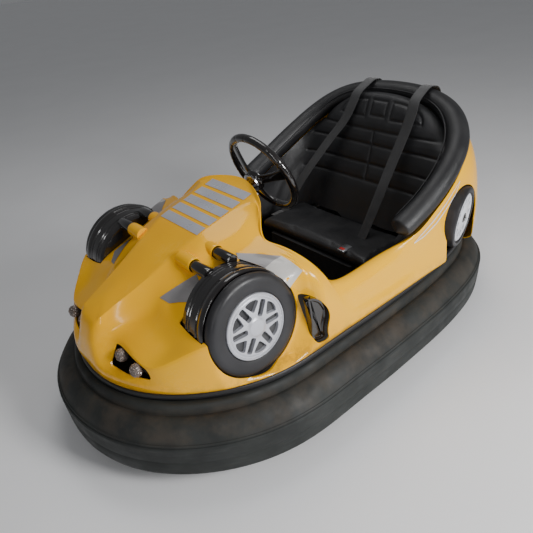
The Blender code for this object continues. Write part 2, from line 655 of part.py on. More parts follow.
base = box("seat_base", (0.48, 0.26, 0.2248), (0, 0.255, FLOOR_TOP + GAP + 0.1124), "leatherette")
cut(base, box("cut_base", (0.472, 0.252, 0.2248), (0, 0.255, FLOOR_TOP + GAP + 0.1074), None))
box("battery", (0.330, 0.175, 0.190), (0, 0.265, FLOOR_TOP + GAP + 0.095), "cast")

cushion = box("seat_cushion", (0.640, 0.262, 0.040), (0, 0.256, 0.3755), "leatherette")


bevel(cushion, 0.018, 3)

# shoulder belts: flat webbing from over the pad down to the cushion
# the left one ends at the buckle, the right one leans outwards to the hip
BELT_PATHS = {
    "left": [(.151, .774, .8310), (.151, .768, .8500), (.151, .7640, .8760), (.151, .7560, .8990),
             (.151, .739, .9150), (.150, .715, .9210), (.150, .690, .9210), (.158, .650, .9120),
             (.172, .590, .8880), (.177, .562, .8420), (.170, .530, .7700), (.160, .464, .6560),
             (.169, .355, .5180), (.177, .262, .4110), (.179, .235, .4030), (.180, .190, .4000)],
    "right": [(-.152, .774, .8310), (-.152, .768, .8500), (-.152, .7640, .8760), (-.151, .7560, .8990),
              (-.150, .739, .9150), (-.148, .715, .9210), (-.144, .690, .9210), (-.137, .650, .9120),
              (-.133, .590, .8880), (-.139, .562, .8420), (-.164, .530, .7700), (-.212, .470, .6800),
              (-.268, .350, .5280), (-.288, .262, .4110), (-.290, .235, .4030), (-.292, .190, .4000)],
}
BELT_WIDTH = 0.048
BELT_THICK = 0.002
for side, points in BELT_PATHS.items():
    rows = []
    for i, place in enumerate(points):
        before = Vector(points[max(0, i - 1)])
        after = Vector(points[min(len(points) - 1, i + 1)])
        along = (after - before).normalized()
        across = Vector((1, 0, 0))
        face = across.cross(along).normalized() * (BELT_THICK / 2)
        half = BELT_WIDTH / 2 if i < 13 else BELT_WIDTH * 0.4
        mid = Vector(place)
        rows.append([mid + across * half + face, mid - across * half + face,
                     mid - across * half - face, mid + across * half - face])
    loft("shoulder_belt_" + side, rows, "webbing", caps=True)
box("belt_buckle", (0.036, 0.055, 0.010), (0.180, 0.161, 0.4020), "steel")

# ---------------------------------------------------------------- steering
tilt = math.radians(COLUMN_TILT)
STEER_AXIS = Vector((0, math.cos(tilt), math.sin(tilt)))
bpy.ops.mesh.primitive_torus_add(major_radius=WHEEL_RADIUS - WHEEL_GRIP, minor_radius=WHEEL_GRIP,
                                 major_segments=32, minor_segments=8)
rim = bpy.context.object
rim.name = "steering_wheel"
rim.location = WHEEL_AT
rim.rotation_euler = aim(STEER_AXIS)
keep(rim, "leatherette")
wheel_frame = Matrix.Translation(WHEEL_AT) @ aim(STEER_AXIS).to_matrix().to_4x4()
boss = turned("wheel_boss", [
    (0, -WHEEL_DISH - .014), (.034, -WHEEL_DISH - .014), (.040, -WHEEL_DISH - .004),
    (.038, -WHEEL_DISH + .008), (.020, -WHEEL_DISH + .013), (0, -WHEEL_DISH + .014)],
    WHEEL_AT, STEER_AXIS, 24, None)
cut(rim, boss, "UNION")
spoke_reach = WHEEL_RADIUS - WHEEL_GRIP - 0.026
spoke_slope = math.atan2(WHEEL_DISH, spoke_reach)
for k, degrees in enumerate((166, 46, 286)):
    spoke = box("wheel_spoke_%d" % k, (math.hypot(spoke_reach, WHEEL_DISH), 0.036, 0.008), (0, 0, 0), None)
    spoke.matrix_world = (wheel_frame @ Matrix.Rotation(math.radians(degrees), 4, "Z")
                          @ Matrix.Translation((0.026 + spoke_reach / 2, 0, -WHEEL_DISH / 2))
                          @ Matrix.Rotation(-spoke_slope, 4, "Y"))
    cut(rim, spoke, "UNION")
COLUMN_END = 0.415
COLUMN_TOP = -WHEEL_DISH - .014 - GAP
turned("steering_column", [
    (0, -COLUMN_END), (.012, -COLUMN_END), (.012, COLUMN_TOP - .026), (.022, COLUMN_TOP - .022),
    (.038, COLUMN_TOP - .007), (.038, COLUMN_TOP), (0, COLUMN_TOP)], WHEEL_AT, STEER_AXIS, 20, "chrome")

# gearbox at the head of the king pin, on the bearing tube of the well
head = box("steering_head", (0.100, 0.110, 0.090), (0, DRIVE_Y + 0.004, 0.5450), "cast")
cut(head, cylinder("cut_column", 0.0125, 0.30, on_axis(WHEEL_AT, STEER_AXIS, -0.53), STEER_AXIS, None, 20))
cut(head, cylinder("cut_pin", 0.0170, 0.060, (0, DRIVE_Y, 0.4999), (0, 0, 1), None, 24))
bevel(head, 0.006, 1)
box("accelerator_pedal", (0.070, 0.012, 0.110), (-0.150, -0.235, 0.205), "cast", (math.radians(-28), 0, 0))

# ---------------------------------------------------------------- drive unit
fork = turned("drive_fork", [
    (0, .262), (.052, .262), (.052, .277), (.0160, .277), (.0160, .520), (0, .520)],
    (0, DRIVE_Y, 0), (0, 0, 1), 24, "frame_paint")
LEG_X = DRIVE_WIDTH / 2 + 0.009
for k, sign in enumerate((1, -1)):
    cut(fork, box("fork_leg_%d" % k, (0.008, 0.060, 0.190), (sign * LEG_X, DRIVE_Y, 0.175), None), "UNION")
cut(fork, cylinder("fork_axle", 0.0090, 2 * LEG_X + 0.004, (0, DRIVE_Y, DRIVE_RADIUS), (1, 0, 0), None, 16),
    "UNION")
cylinder("drive_motor", 0.052, 0.100, (LEG_X + 0.0043 + 0.050, DRIVE_Y, DRIVE_RADIUS + 0.012), (1, 0, 0),
         "cast", 24)
turned("drive_tyre", [
    (.070, -DRIVE_WIDTH / 2), (.100, -DRIVE_WIDTH / 2), (DRIVE_RADIUS, -DRIVE_WIDTH / 2 + .008),
    (DRIVE_RADIUS, DRIVE_WIDTH / 2 - .008), (.100, DRIVE_WIDTH / 2), (.070, DRIVE_WIDTH / 2)],
    (0, DRIVE_Y, DRIVE_RADIUS), (1, 0, 0), 32, "tyre_black")
turned("drive_hub", [
    (.0094, -.024), (.0240, -.024), (.0240, -.008), (.0600, -.008), (.0600, -.020), (.0697, -.020),
    (.0697, .020), (.0600, .020), (.0600, .008), (.0240, .008), (.0240, .024), (.0094, .024)],
    (0, DRIVE_Y, DRIVE_RADIUS), (1, 0, 0), 24, "cast")

# ---------------------------------------------------------------- rear running wheels
half_gap = ROLLER_WIDTH / 2 + 0.007
for side, sign in (("left", 1), ("right", -1)):
    at = (sign * ROLLER_X, ROLLER_Y, ROLLER_RADIUS)
    turned("rear_wheel_" + side, [
        (.0084, -.022), (.0240, -.022), (.0300, -.014), (.0600, -.014), (.0640, -ROLLER_WIDTH / 2),
        (.0950, -ROLLER_WIDTH / 2), (ROLLER_RADIUS, -ROLLER_WIDTH / 2 + .006),
        (ROLLER_RADIUS, ROLLER_WIDTH / 2 - .006), (.0950, ROLLER_WIDTH / 2),
        (.0640, ROLLER_WIDTH / 2), (.0600, .014), (.0300, .014), (.0240, .022), (.0084, .022)],
        at, (1, 0, 0), 28, "tyre_black")
    bracket = box("axle_bracket_" + side, (2 * half_gap + 0.012, 0.120, 0.006),
                  (sign * ROLLER_X, ROLLER_Y, 0.219), "frame_paint")
    for k, way in enumerate((1, -1)):
        x = sign * ROLLER_X + way * (half_gap + 0.003)
        cut(bracket, box("ear_%s_%d" % (side, k), (0.006, 0.120, 0.146), (x, ROLLER_Y, 0.149), None), "UNION")
    cut(bracket, cylinder("axle_" + side, 0.0080, 2 * half_gap + 0.016, at, (1, 0, 0), None, 16), "UNION")
    for k, way in enumerate((1, -1)):
        foot = box("foot_%s_%d" % (side, k), (0.080, 0.040, 0.005),
                   (sign * ROLLER_X, ROLLER_Y + way * 0.135, FLOOR_TOP + GAP + 0.0025), None)
        cut(bracket, foot, "UNION")
        web = box("web_%s_%d" % (side, k), (0.012 + 2 * half_gap, 0.012, 0.0911),
                  (sign * ROLLER_X, ROLLER_Y + way * 0.120, FLOOR_TOP + GAP + 0.0456), None)
        cut(bracket, web, "UNION")
        tie = box("tie_%s_%d" % (side, k), (0.012 + 2 * half_gap, 0.070, 0.006),
                  (sign * ROLLER_X, ROLLER_Y + way * 0.092, 0.219), None)
        cut(bracket, tie, "UNION")
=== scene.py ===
# %% [markdown]
# # A fairground bumper car
# This lesson dresses a measured bumper car in Blender: a rubber ring, a glossy moulded body with
# dummy wheels, a black padded bucket seat, a steering wheel and a chassis with real running wheels.
# The measured model loads first and fixes every place and size. Pieces whose plain shape is right
# keep it and get a better finish; the body, the soft parts and the trim are remade in finer form.

# %% Load the measured car
import math

import bpy
import numpy as np
from mathutils import Matrix, Vector
from mathutils.bvhtree import BVHTree


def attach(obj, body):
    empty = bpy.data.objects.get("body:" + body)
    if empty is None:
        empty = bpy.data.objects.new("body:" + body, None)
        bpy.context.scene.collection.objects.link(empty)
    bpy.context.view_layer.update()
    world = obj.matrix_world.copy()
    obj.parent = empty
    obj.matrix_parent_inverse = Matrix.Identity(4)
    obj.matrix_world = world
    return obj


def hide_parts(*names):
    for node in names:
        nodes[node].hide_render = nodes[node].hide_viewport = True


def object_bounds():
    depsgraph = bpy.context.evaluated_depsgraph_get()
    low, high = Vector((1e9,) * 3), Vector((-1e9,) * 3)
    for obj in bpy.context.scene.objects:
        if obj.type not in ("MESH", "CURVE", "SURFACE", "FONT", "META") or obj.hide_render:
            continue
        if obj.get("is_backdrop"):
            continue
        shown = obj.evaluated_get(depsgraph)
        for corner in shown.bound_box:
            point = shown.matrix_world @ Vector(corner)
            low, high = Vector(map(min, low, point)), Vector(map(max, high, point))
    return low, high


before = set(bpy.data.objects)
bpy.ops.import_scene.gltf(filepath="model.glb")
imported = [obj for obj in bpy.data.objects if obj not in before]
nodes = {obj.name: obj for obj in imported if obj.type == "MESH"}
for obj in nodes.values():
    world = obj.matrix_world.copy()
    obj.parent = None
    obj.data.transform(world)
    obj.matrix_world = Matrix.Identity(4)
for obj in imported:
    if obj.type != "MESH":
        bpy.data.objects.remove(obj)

cad_low, cad_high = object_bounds()
print("measured car:", [round((b - a) * 1000) for a, b in zip(cad_low, cad_high)], "mm")

# %% [markdown]
# ## Small helpers
# Blender's operators act on whatever is selected, so each step first selects one object alone.
# Operators that shape a mesh run in edit mode. A finished piece has its place stored in its mesh,
# with its object at the origin, so that patterns in its material stay where they belong.

# %% Select, enter edit mode, apply
def alone(obj):
    bpy.ops.object.select_all(action="DESELECT")
    obj.select_set(True)
    bpy.context.view_layer.objects.active = obj
    return obj


def edit(obj):
    alone(obj)
    bpy.ops.object.mode_set(mode="EDIT")
    bpy.ops.mesh.select_all(action="SELECT")


def leave():
    bpy.ops.object.mode_set(mode="OBJECT")


def settle(obj):
    """Stores the object's place, turn and scale in its mesh."""
    alone(obj)
    bpy.ops.object.transform_apply(location=True, rotation=True, scale=True)
    return obj


def apply_all(obj):
    alone(obj)
    for modifier in list(obj.modifiers):
        bpy.ops.object.modifier_apply(modifier=modifier.name)
    return obj


def call(obj, name):
    obj.name = name
    obj.data.name = name
    return obj


def soften(obj, degrees=35):
    alone(obj)
    bpy.ops.object.shade_smooth_by_angle(angle=math.radians(degrees))
    return obj


def merge(obj, distance=1e-5, outward=True):
    """Joins points that lie on each other and turns the faces outwards."""
    edit(obj)
    bpy.ops.mesh.remove_doubles(threshold=distance)
    if outward:
        bpy.ops.mesh.normals_make_consistent(inside=False)
    leave()
    return obj


def face_outwards(obj):
    edit(obj)
    bpy.ops.mesh.normals_make_consistent(inside=False)
    leave()


def flip_faces(obj):
    edit(obj)
    bpy.ops.mesh.flip_normals()
    leave()


def bevel_edges(obj, width, segments=2, above=30):
    """Bevel modifier on the edges sharper than so many degrees."""
    edges = obj.modifiers.new("edges", "BEVEL")
    edges.width, edges.segments = width, segments
    edges.limit_method, edges.angle_limit = "ANGLE", math.radians(above)
    return obj


def subdivide(obj, cuts):
    edit(obj)
    bpy.ops.mesh.subdivide(number_cuts=cuts)
    leave()


def move_points(obj, places):
    """Moves every point of the mesh to its row of the array."""
    obj.data.vertices.foreach_set("co", np.asarray(places, np.float32).reshape(-1))
    obj.data.update()


def places_of(obj):
    return np.array([v.co for v in obj.data.vertices])


def angles_round(count):
    """Angles once round a circle, the last the same as the first."""
    return [2 * math.pi * (j % count) / count for j in range(count + 1)]


SIDES = (("left", 1), ("right", -1))


def on_side(point, sign):
    """A place given for the left side, mirrored when the sign is -1."""
    return Vector((sign * point[0], point[1], point[2]))


def close_ends(obj):
    """Fills open ends and turns the faces outwards."""
    edit(obj)
    bpy.ops.mesh.select_mode(type="EDGE")
    bpy.ops.mesh.select_all(action="DESELECT")
    bpy.ops.mesh.select_non_manifold()
    bpy.ops.mesh.edge_face_add()
    bpy.ops.mesh.select_all(action="SELECT")
    bpy.ops.mesh.normals_make_consistent(inside=False)
    leave()
    return obj


bpy.ops.object.select_all(action="DESELECT")
print("helpers ready")

# %% [markdown]
# ## Three ways to start a piece
# Most of the car comes from three starts. A grid primitive whose corners are moved row by row
# makes a skin. A circle primitive, extruded and scaled from one height to the next, makes a
# turned piece such as a tyre. A cube primitive with bevelled edges makes a block.

# %% Skin from a grid primitive
def grid_skin(name, rows, wrap=False):
    """A grid whose points are moved to these rows. wrap merges ends that meet."""
    across, along = len(rows[0]), len(rows)
    bpy.ops.mesh.primitive_grid_add(x_subdivisions=across - 1, y_subdivisions=along - 1, size=1)
    obj = call(bpy.context.object, name)
    move_points(obj, rows)
    if wrap:
        merge(obj)
    return obj


# %% Turned piece from a circle primitive
def facing(direction):
    """Turn that takes +Z to the direction and keeps +X level."""
    z = Vector(direction).normalized()
    side = Vector((0, 0, 1)) if abs(z.z) < 0.9 else Vector((0, 1, 0))
    x = side.cross(z).normalized()
    return Matrix((x, z.cross(x), z)).transposed().to_4x4()


def turned(name, profile, at=(0, 0, 0), direction=(0, 0, 1), sides=64):
    """Circle of the first radius, extruded and scaled through the (radius, height) profile."""
    tiny = 2e-5
    points = [(max(radius, tiny), height) for radius, height in profile]
    bpy.ops.mesh.primitive_circle_add(vertices=sides, radius=points[0][0])
    obj = call(bpy.context.object, name)
    obj.data.transform(Matrix.Translation((0, 0, points[0][1])))
    edit(obj)
    for before, after in zip(points, points[1:]):
        bpy.ops.mesh.extrude_region_move(
            TRANSFORM_OT_translate={"value": (0, 0, after[1] - before[1])})
        scale = after[0] / before[0]
        bpy.ops.transform.resize(value=(scale, scale, 1), center_override=(0, 0, after[1]))
    leave()
    merge(obj, 4 * tiny)
    obj.matrix_world = Matrix.Translation(at) @ facing(direction)
    return soften(settle(obj))


# %% Block from a cube primitive
def block(name, size, at, bevel=0.003, segments=3):
    bpy.ops.mesh.primitive_cube_add(size=1)
    obj = call(bpy.context.object, name)
    obj.scale = size
    settle(obj)
    if bevel:
        apply_all(bevel_edges(obj, bevel, segments))
    obj.data.transform(Matrix.Translation(at))
    return soften(obj)


def rod(name, radius, start, end, sides=24, bevel=0.0015):
    """Cylinder primitive between two points, with its rims bevelled."""
    start, end = Vector(start), Vector(end)
    bpy.ops.mesh.primitive_cylinder_add(vertices=sides, radius=radius, depth=(end - start).length)
    obj = call(bpy.context.object, name)
    if bevel:
        apply_all(bevel_edges(obj, bevel))
    obj.data.transform(Matrix.Translation((start + end) / 2) @ facing(end - start))
    return soften(obj)


def cut(obj, *cutters, operation="DIFFERENCE"):
    """Takes the cutters out of the object, or joins them to it, and removes them."""
    for cutter in cutters:
        knife = obj.modifiers.new("cut", "BOOLEAN")
        knife.operation = operation
        knife.solver = "EXACT"
        knife.object = cutter
        alone(obj)
        bpy.ops.object.modifier_apply(modifier=knife.name)
        bpy.data.objects.remove(cutter, do_unlink=True)
    return obj


print("grid_skin, turned, block and rod ready")

# %% [markdown]
# ## Camera
# The camera stands in front of the car's left side, a little above head height for a child,
# and looks down at it. It is rolled a few degrees, as a hand-held camera is.

# %% Camera
EYE = Vector((1.5798, -1.2734, 1.5017))
AZIMUTH, ELEVATION, ROLL = math.radians(53.43), math.radians(29.95), math.radians(-6.52)
back = Vector((math.sin(AZIMUTH) * math.cos(ELEVATION), -math.cos(AZIMUTH) * math.cos(ELEVATION),
               math.sin(ELEVATION)))
right = (-back).cross(Vector((0, 0, 1))).normalized()
up = right.cross(-back)
tilted_right = right * math.cos(ROLL) + up * math.sin(ROLL)
tilted_up = up * math.cos(ROLL) - right * math.sin(ROLL)
camera_data = bpy.data.cameras.new("camera")
camera_data.lens = 38.28
camera_data.sensor_width = 36
camera_data.dof.use_dof = False
camera = bpy.data.objects.new("camera", camera_data)
bpy.context.scene.collection.objects.link(camera)
turn = Matrix((tilted_right, tilted_up, back)).transposed().to_4x4()
camera.matrix_world = Matrix.Translation(EYE) @ turn
bpy.context.scene.camera = camera
print("camera", round((EYE - Vector((0, 0, 0.4))).length, 2), "m from the car")

# %% [markdown]
# ## Light and floor
# Gloss is only as good as what it reflects. A pale world gives even light, a large soft panel
# overhead and one at the side draw the broad highlights, and two long strips draw thin bright
# lines along the rounded edges. The floor is plain and pale.

# %% World, floor and softboxes
world = bpy.data.worlds.new("studio")
bpy.context.scene.world = world
world.use_nodes = True
sky = world.node_tree.nodes["Background"]
sky.inputs["Color"].default_value = (0.95, 0.97, 1.0, 1)
sky.inputs["Strength"].default_value = 0.19


def softbox(name, at, target, size, power):
    data = bpy.data.lights.new(name, "AREA")
    data.shape = "RECTANGLE"
    data.size, data.size_y = size
    data.energy = power
    light = bpy.data.objects.new(name, data)
    bpy.context.scene.collection.objects.link(light)
    away = Vector(at) - Vector(target)
    light.matrix_world = Matrix.Translation(at) @ facing(away)


softbox("overhead", (-0.6, 0.3, 3.4), (0, 0, 0.4), (2.0, 1.4), 26)
softbox("side_key", (3.3, 0.4, 2.0), (0, 0, 0.4), (1.0, 1.0), 108)
softbox("window_strip", (1.9, -2.6, 2.0), (0, -0.2, 0.5), (0.16, 2.2), 14)
softbox("side_strip", (3.0, 0.9, 1.5), (0.2, 0.1, 0.5), (0.14, 2.0), 12)

FLOOR_SIZE = 60
bpy.ops.mesh.primitive_plane_add(size=FLOOR_SIZE)
floor = call(bpy.context.object, "studio_floor")
subdivide(floor, 3)
floor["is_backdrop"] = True
print("four softboxes over a", FLOOR_SIZE, "m floor")

# %% [markdown]
# ## Finishes
# Each finish is a Principled shader. What varies over a surface, such as grain, dust or weave,
# comes from a small set of shader node groups that the finishes share. A number that is the same
# all over stays on the shader's own socket.

# %% Shader node groups
def new_group(name, inputs, outputs):
    """Empty group with sockets given as (name, kind, default)."""
    tree = bpy.data.node_groups.new(name, "ShaderNodeTree")
    for label, kind, default in inputs:
        socket = tree.interface.new_socket(label, in_out="INPUT", socket_type="NodeSocket" + kind)
        if default is not None:
            socket.default_value = default
    for label, kind in outputs:
        tree.interface.new_socket(label, in_out="OUTPUT", socket_type="NodeSocket" + kind)
    start = tree.nodes.new("NodeGroupInput")
    end = tree.nodes.new("NodeGroupOutput")
    return tree, start, end


def feed(tree, socket, value):
    """Gives a node's input a number, a colour or another node's output."""
    if isinstance(value, (int, float)):
        socket.default_value = value
    elif isinstance(value, tuple):
        socket.default_value = (*value, 1)
    else:
        tree.links.new(value, socket)


def feed_all(tree, node, **values):
    """Feeds a node's inputs by name, with _ for a space."""
    for label, value in values.items():
        feed(tree, node.inputs[label.replace("_", " ")], value)


def math_node(tree, operation, *values, clamp=False):
    """Math node whose inputs are sockets or plain numbers. Gives its output socket."""
    node = tree.nodes.new("ShaderNodeMath")
    node.operation = operation
    node.use_clamp = clamp
    for socket, value in zip(node.inputs, values):
        feed(tree, socket, value)
    return node.outputs[0]


def times(tree, first, second):
    return math_node(tree, "MULTIPLY", first, second)


def noise(tree, vector, scale, detail=3.0, rough=0.5):
    node = tree.nodes.new("ShaderNodeTexNoise")
    feed_all(tree, node, Vector=vector, Scale=scale, Detail=detail, Roughness=rough)
    return node.outputs["Fac"]


def split_axes(tree, vector):
    node = tree.nodes.new("ShaderNodeSeparateXYZ")
    tree.links.new(vector, node.inputs["Vector"])
    return node.outputs


def stretched(tree, vector, scale, rotation=(0, 0, 0)):
    node = tree.nodes.new("ShaderNodeMapping")
    node.inputs["Scale"].default_value = scale
    node.inputs["Rotation"].default_value = rotation
    tree.links.new(vector, node.inputs["Vector"])
    return node.outputs["Vector"]


def step(tree, value, low, high, out_low=0.0, out_high=1.0):
    """Smooth rise from out_low to out_high as the value goes from low to high."""
    node = tree.nodes.new("ShaderNodeMapRange")
    node.interpolation_type = "SMOOTHSTEP"
    feed_all(tree, node, Value=value, From_Min=low, From_Max=high, To_Min=out_low, To_Max=out_high)
    return node.outputs["Result"]


def mix_colour(tree, factor, first, second):
    node = tree.nodes.new("ShaderNodeMix")
    node.data_type = "RGBA"
    for place, value in ((0, factor), (6, first), (7, second)):    # the colour mix's own sockets
        feed(tree, node.inputs[place], value)
    return node.outputs[2]


# leather grain: small rounded cells with fine creases between them, over soft long wrinkles
grain_tree, start, end = new_group(
    "leather_grain",
    [("Vector", "Vector", None), ("Cells", "Float", 700.0), ("Wrinkles", "Float", 30.0)],
    [("Height", "Float"), ("Crease", "Float")])
cells = grain_tree.nodes.new("ShaderNodeTexVoronoi")
cells.feature = "DISTANCE_TO_EDGE"
grain_tree.links.new(start.outputs["Vector"], cells.inputs["Vector"])
grain_tree.links.new(start.outputs["Cells"], cells.inputs["Scale"])
crease = step(grain_tree, cells.outputs["Distance"], 0.0, 0.22)
soft = noise(grain_tree, start.outputs["Vector"], start.outputs["Wrinkles"], 2.0)
height = math_node(grain_tree, "MULTIPLY_ADD", soft, 0.8, crease)
grain_tree.links.new(height, end.inputs["Height"])
grain_tree.links.new(crease, end.inputs["Crease"])

# dust: settles on what faces up, in uneven patches
dust_tree, start, end = new_group(
    "settled_dust", [("Colour", "Color", (0.5, 0.5, 0.5, 1)), ("Dust", "Color", (0.30, 0.27, 0.23, 1)),
                     ("Amount", "Float", 0.3), ("Vector", "Vector", None)],
    [("Colour", "Color"), ("Mask", "Float")])
shape = dust_tree.nodes.new("ShaderNodeNewGeometry")
upward = step(dust_tree, split_axes(dust_tree, shape.outputs["Normal"])["Z"], -0.1, 0.9)
patches = step(dust_tree, noise(dust_tree, start.outputs["Vector"], 7.0, 5.0, 0.6), 0.35, 0.75)
fine = step(dust_tree, noise(dust_tree, start.outputs["Vector"], 160.0, 3.0, 0.7), 0.35, 0.70)
both = math_node(dust_tree, "MULTIPLY_ADD", fine, 0.45, patches)
mask = math_node(dust_tree, "MULTIPLY", times(dust_tree, both, upward), start.outputs["Amount"],
                 clamp=True)
blend = mix_colour(dust_tree, mask, start.outputs["Colour"], start.outputs["Dust"])
dust_tree.links.new(blend, end.inputs["Colour"])
dust_tree.links.new(mask, end.inputs["Mask"])

# fine wear: sparse thin scratches, as a mask
wear_tree, start, end = new_group(
    "fine_wear", [("Vector", "Vector", None), ("Scale", "Float", 40.0)], [("Mask", "Float")])
drawn_out = stretched(wear_tree, start.outputs["Vector"], (1.0, 0.12, 1.0), (0.3, 0.2, 0.9))
thin = noise(wear_tree, drawn_out, start.outputs["Scale"], 6.0, 0.75)
lines = step(wear_tree, math_node(wear_tree, "ABSOLUTE", math_node(wear_tree, "SUBTRACT", thin, 0.5)),
             0.0, 0.012, 1.0, 0.0)
where = step(wear_tree, noise(wear_tree, start.outputs["Vector"], 9.0, 3.0), 0.52, 0.66)
wear_tree.links.new(times(wear_tree, lines, where), end.inputs["Mask"])

# weave: threads over and under, from the piece's own UV map
weave_tree, start, end = new_group(
    "plain_weave", [("Vector", "Vector", None), ("Across", "Float", 24.0), ("Along", "Float", 400.0)],
    [("Height", "Float")])
on_cloth = split_axes(weave_tree, start.outputs["Vector"])
FULL_TURN = 6.2832


def thread_wave(coordinate, count):
    """Sine wave with that many threads a metre."""
    threads = times(weave_tree, on_cloth[coordinate], start.outputs[count])
    return math_node(weave_tree, "SINE", times(weave_tree, threads, FULL_TURN))


wave_u = thread_wave("X", "Across")
wave_v = thread_wave("Y", "Along")
raised = math_node(weave_tree, "MULTIPLY_ADD", wave_u, wave_v, times(weave_tree, wave_v, 0.5))
weave_tree.links.new(raised, end.inputs["Height"])
print("groups:", [tree.name for tree in bpy.data.node_groups])

# %% Finish helpers
def new_finish(name, colour, rough, metal=0.0, coat=0.0, coat_rough=0.05):
    """Principled material. Gives the material, its tree, its shader and Object coordinates."""
    material = bpy.data.materials.new(name)
    material.use_nodes = True
    tree = material.node_tree
    shader = tree.nodes["Principled BSDF"]
    feed_all(tree, shader, Base_Color=colour, Roughness=rough, Metallic=metal, Coat_Weight=coat,
             Coat_Roughness=coat_rough)
    place = tree.nodes.new("ShaderNodeTexCoord")
    return material, tree, shader, place.outputs["Object"]


def use_group(tree, name, **values):
    node = tree.nodes.new("ShaderNodeGroup")
    node.node_tree = bpy.data.node_groups[name]
    feed_all(tree, node, **values)
    return node.outputs


def bump(tree, shader, height, strength, distance):
    node = tree.nodes.new("ShaderNodeBump")
    feed_all(tree, node, Height=height, Strength=strength, Distance=distance)
    tree.links.new(node.outputs["Normal"], shader.inputs["Normal"])


def vary(tree, shader, vector, colours, rough, scale=6.0):
    """Colour and roughness that drift between two values in soft patches. Gives the colour."""
    drift = step(tree, noise(tree, vector, scale, 4.0, 0.6), 0.3, 0.7)
    colour = mix_colour(tree, drift, *colours)
    tree.links.new(step(tree, noise(tree, vector, scale * 2.3, 3.0), 0.3, 0.7, *rough),
                   shader.inputs["Roughness"])
    return colour


def dusty_colour(tree, shader, place, colour, dust, amount):
    """Settles dust on the colour and gives it to the shader."""
    dusted = use_group(tree, "settled_dust", Colour=colour, Dust=dust, Amount=amount, Vector=place)
    tree.links.new(dusted["Colour"], shader.inputs["Base Color"])


print("finish helpers ready")

# %% [markdown]
# ### Gel coat
# The body is moulded glass fibre with a yellow gel coat: deep colour under a clear shine, a faint
# orange peel, fine handling scratches, and low down where shoes and bumpers rub a darkening that
# is part grime and part painted shade.

# %% Yellow gel coat
yellow, tree, shader, place = new_finish(
    "yellow_gelcoat", (1.0, 0.52, 0.0), 0.2, coat=0.2, coat_rough=0.04)
colour = vary(tree, shader, place, ((1.0, 0.510, 0.0), (0.98, 0.465, 0.0)), (0.12, 0.22), 3.0)
feed_all(tree, shader, Specular_IOR_Level=0.3)
# darker towards the hem, low down by the bumper: part grime, part painted shade
low_down = step(tree, split_axes(tree, place)["Z"], 0.32, 0.40, 0.55, 0.0)
grime_and_painted_shade = times(tree, low_down, step(tree, noise(tree, place, 22.0, 6.0, 0.7), 0.42, 0.62))
colour = mix_colour(tree, grime_and_painted_shade, colour, (0.40, 0.20, 0.02))
worn = use_group(tree, "fine_wear", Vector=place, Scale=55.0)["Mask"]
colour = mix_colour(tree, times(tree, worn, 0.22), colour, (0.95, 0.70, 0.30))
dusty_colour(tree, shader, place, colour, (0.62, 0.36, 0.06), 0.03)
bump(tree, shader, noise(tree, place, 260.0, 2.0), 0.05, 0.0006)
print("made", yellow.name)

# %% [markdown]
# ### Rubber
# The bumper's rubber is matt and slightly green-grey. Its tread band is rubbed by other cars, its
# sidewall gathers brown dirt. The finish reads the height, since the bumper lies level.

# %% Bumper rubber
rubber, tree, shader, place = new_finish("bumper_rubber", (0.022, 0.026, 0.025), 0.7)
colour = vary(tree, shader, place, ((0.010, 0.012, 0.0115), (0.020, 0.023, 0.021)), (0.58, 0.82), 5.0)
level = split_axes(tree, place)["Z"]
sidewall = times(tree, step(tree, level, 0.198, 0.225), step(tree, level, 0.275, 0.292, 1.0, 0.2))
dirt = times(tree, sidewall, step(tree, noise(tree, place, 9.0, 6.0, 0.65), 0.36, 0.66))
colour = mix_colour(tree, times(tree, dirt, 0.45), colour, (0.070, 0.052, 0.036))
sweep = stretched(tree, place, (1.0, 1.0, 14.0))
rubbed = step(tree, noise(tree, sweep, 11.0, 6.0, 0.7), 0.50, 0.72)
band = times(tree, rubbed, step(tree, level, 0.196, 0.202, 1.0, 0.0))
colour = mix_colour(tree, times(tree, band, 0.4), colour, (0.050, 0.055, 0.052))
tree.links.new(colour, shader.inputs["Base Color"])
bump(tree, shader, noise(tree, place, 420.0, 4.0, 0.7), 0.25, 0.0008)
print("made", rubber.name)

# %% [markdown]
# ### Leatherette and webbing
# The seat is covered in black leatherette: an embossed grain of small cells over soft wrinkles.
# The belts are nylon webbing, whose weave follows the belt's own UV map.

# %% Leatherette and webbing
leather, tree, shader, place = new_finish(
    "leatherette", (0.011, 0.011, 0.013), 0.42, coat=0.08, coat_rough=0.35)
colour = vary(tree, shader, place, ((0.009, 0.009, 0.010), (0.016, 0.016, 0.018)), (0.34, 0.50), 6.0)
grain = use_group(tree, "leather_grain", Vector=place, Cells=620.0, Wrinkles=26.0)
dusty_colour(tree, shader, place, colour, (0.040, 0.039, 0.038), 0.20)
bump(tree, shader, grain["Height"], 0.22, 0.0010)

webbing, tree, shader, place = new_finish("webbing", (0.012, 0.012, 0.013), 0.75)
feed_all(tree, shader, Sheen_Weight=0.25)
on_belt = tree.nodes.new("ShaderNodeUVMap").outputs["UV"]
threads = use_group(tree, "plain_weave", Vector=on_belt, Across=11.0, Along=330.0)["Height"]
colour = vary(tree, shader, place, ((0.010, 0.010, 0.011), (0.020, 0.020, 0.021)), (0.65, 0.82), 12.0)
colour = mix_colour(tree, step(tree, threads, -1.5, 1.5, 0.0, 0.5), colour, (0.034, 0.034, 0.036))
tree.links.new(colour, shader.inputs["Base Color"])
bump(tree, shader, threads, 0.35, 0.0006)
print("made", leather.name, webbing.name)

# %% [markdown]
# ### Hard plastics, paint and metal
# The remaining hard finishes differ in colour, shine and how they age, so one function makes them
# all: two drifting shades, a range of roughness, scratches that show a third shade, and dust.

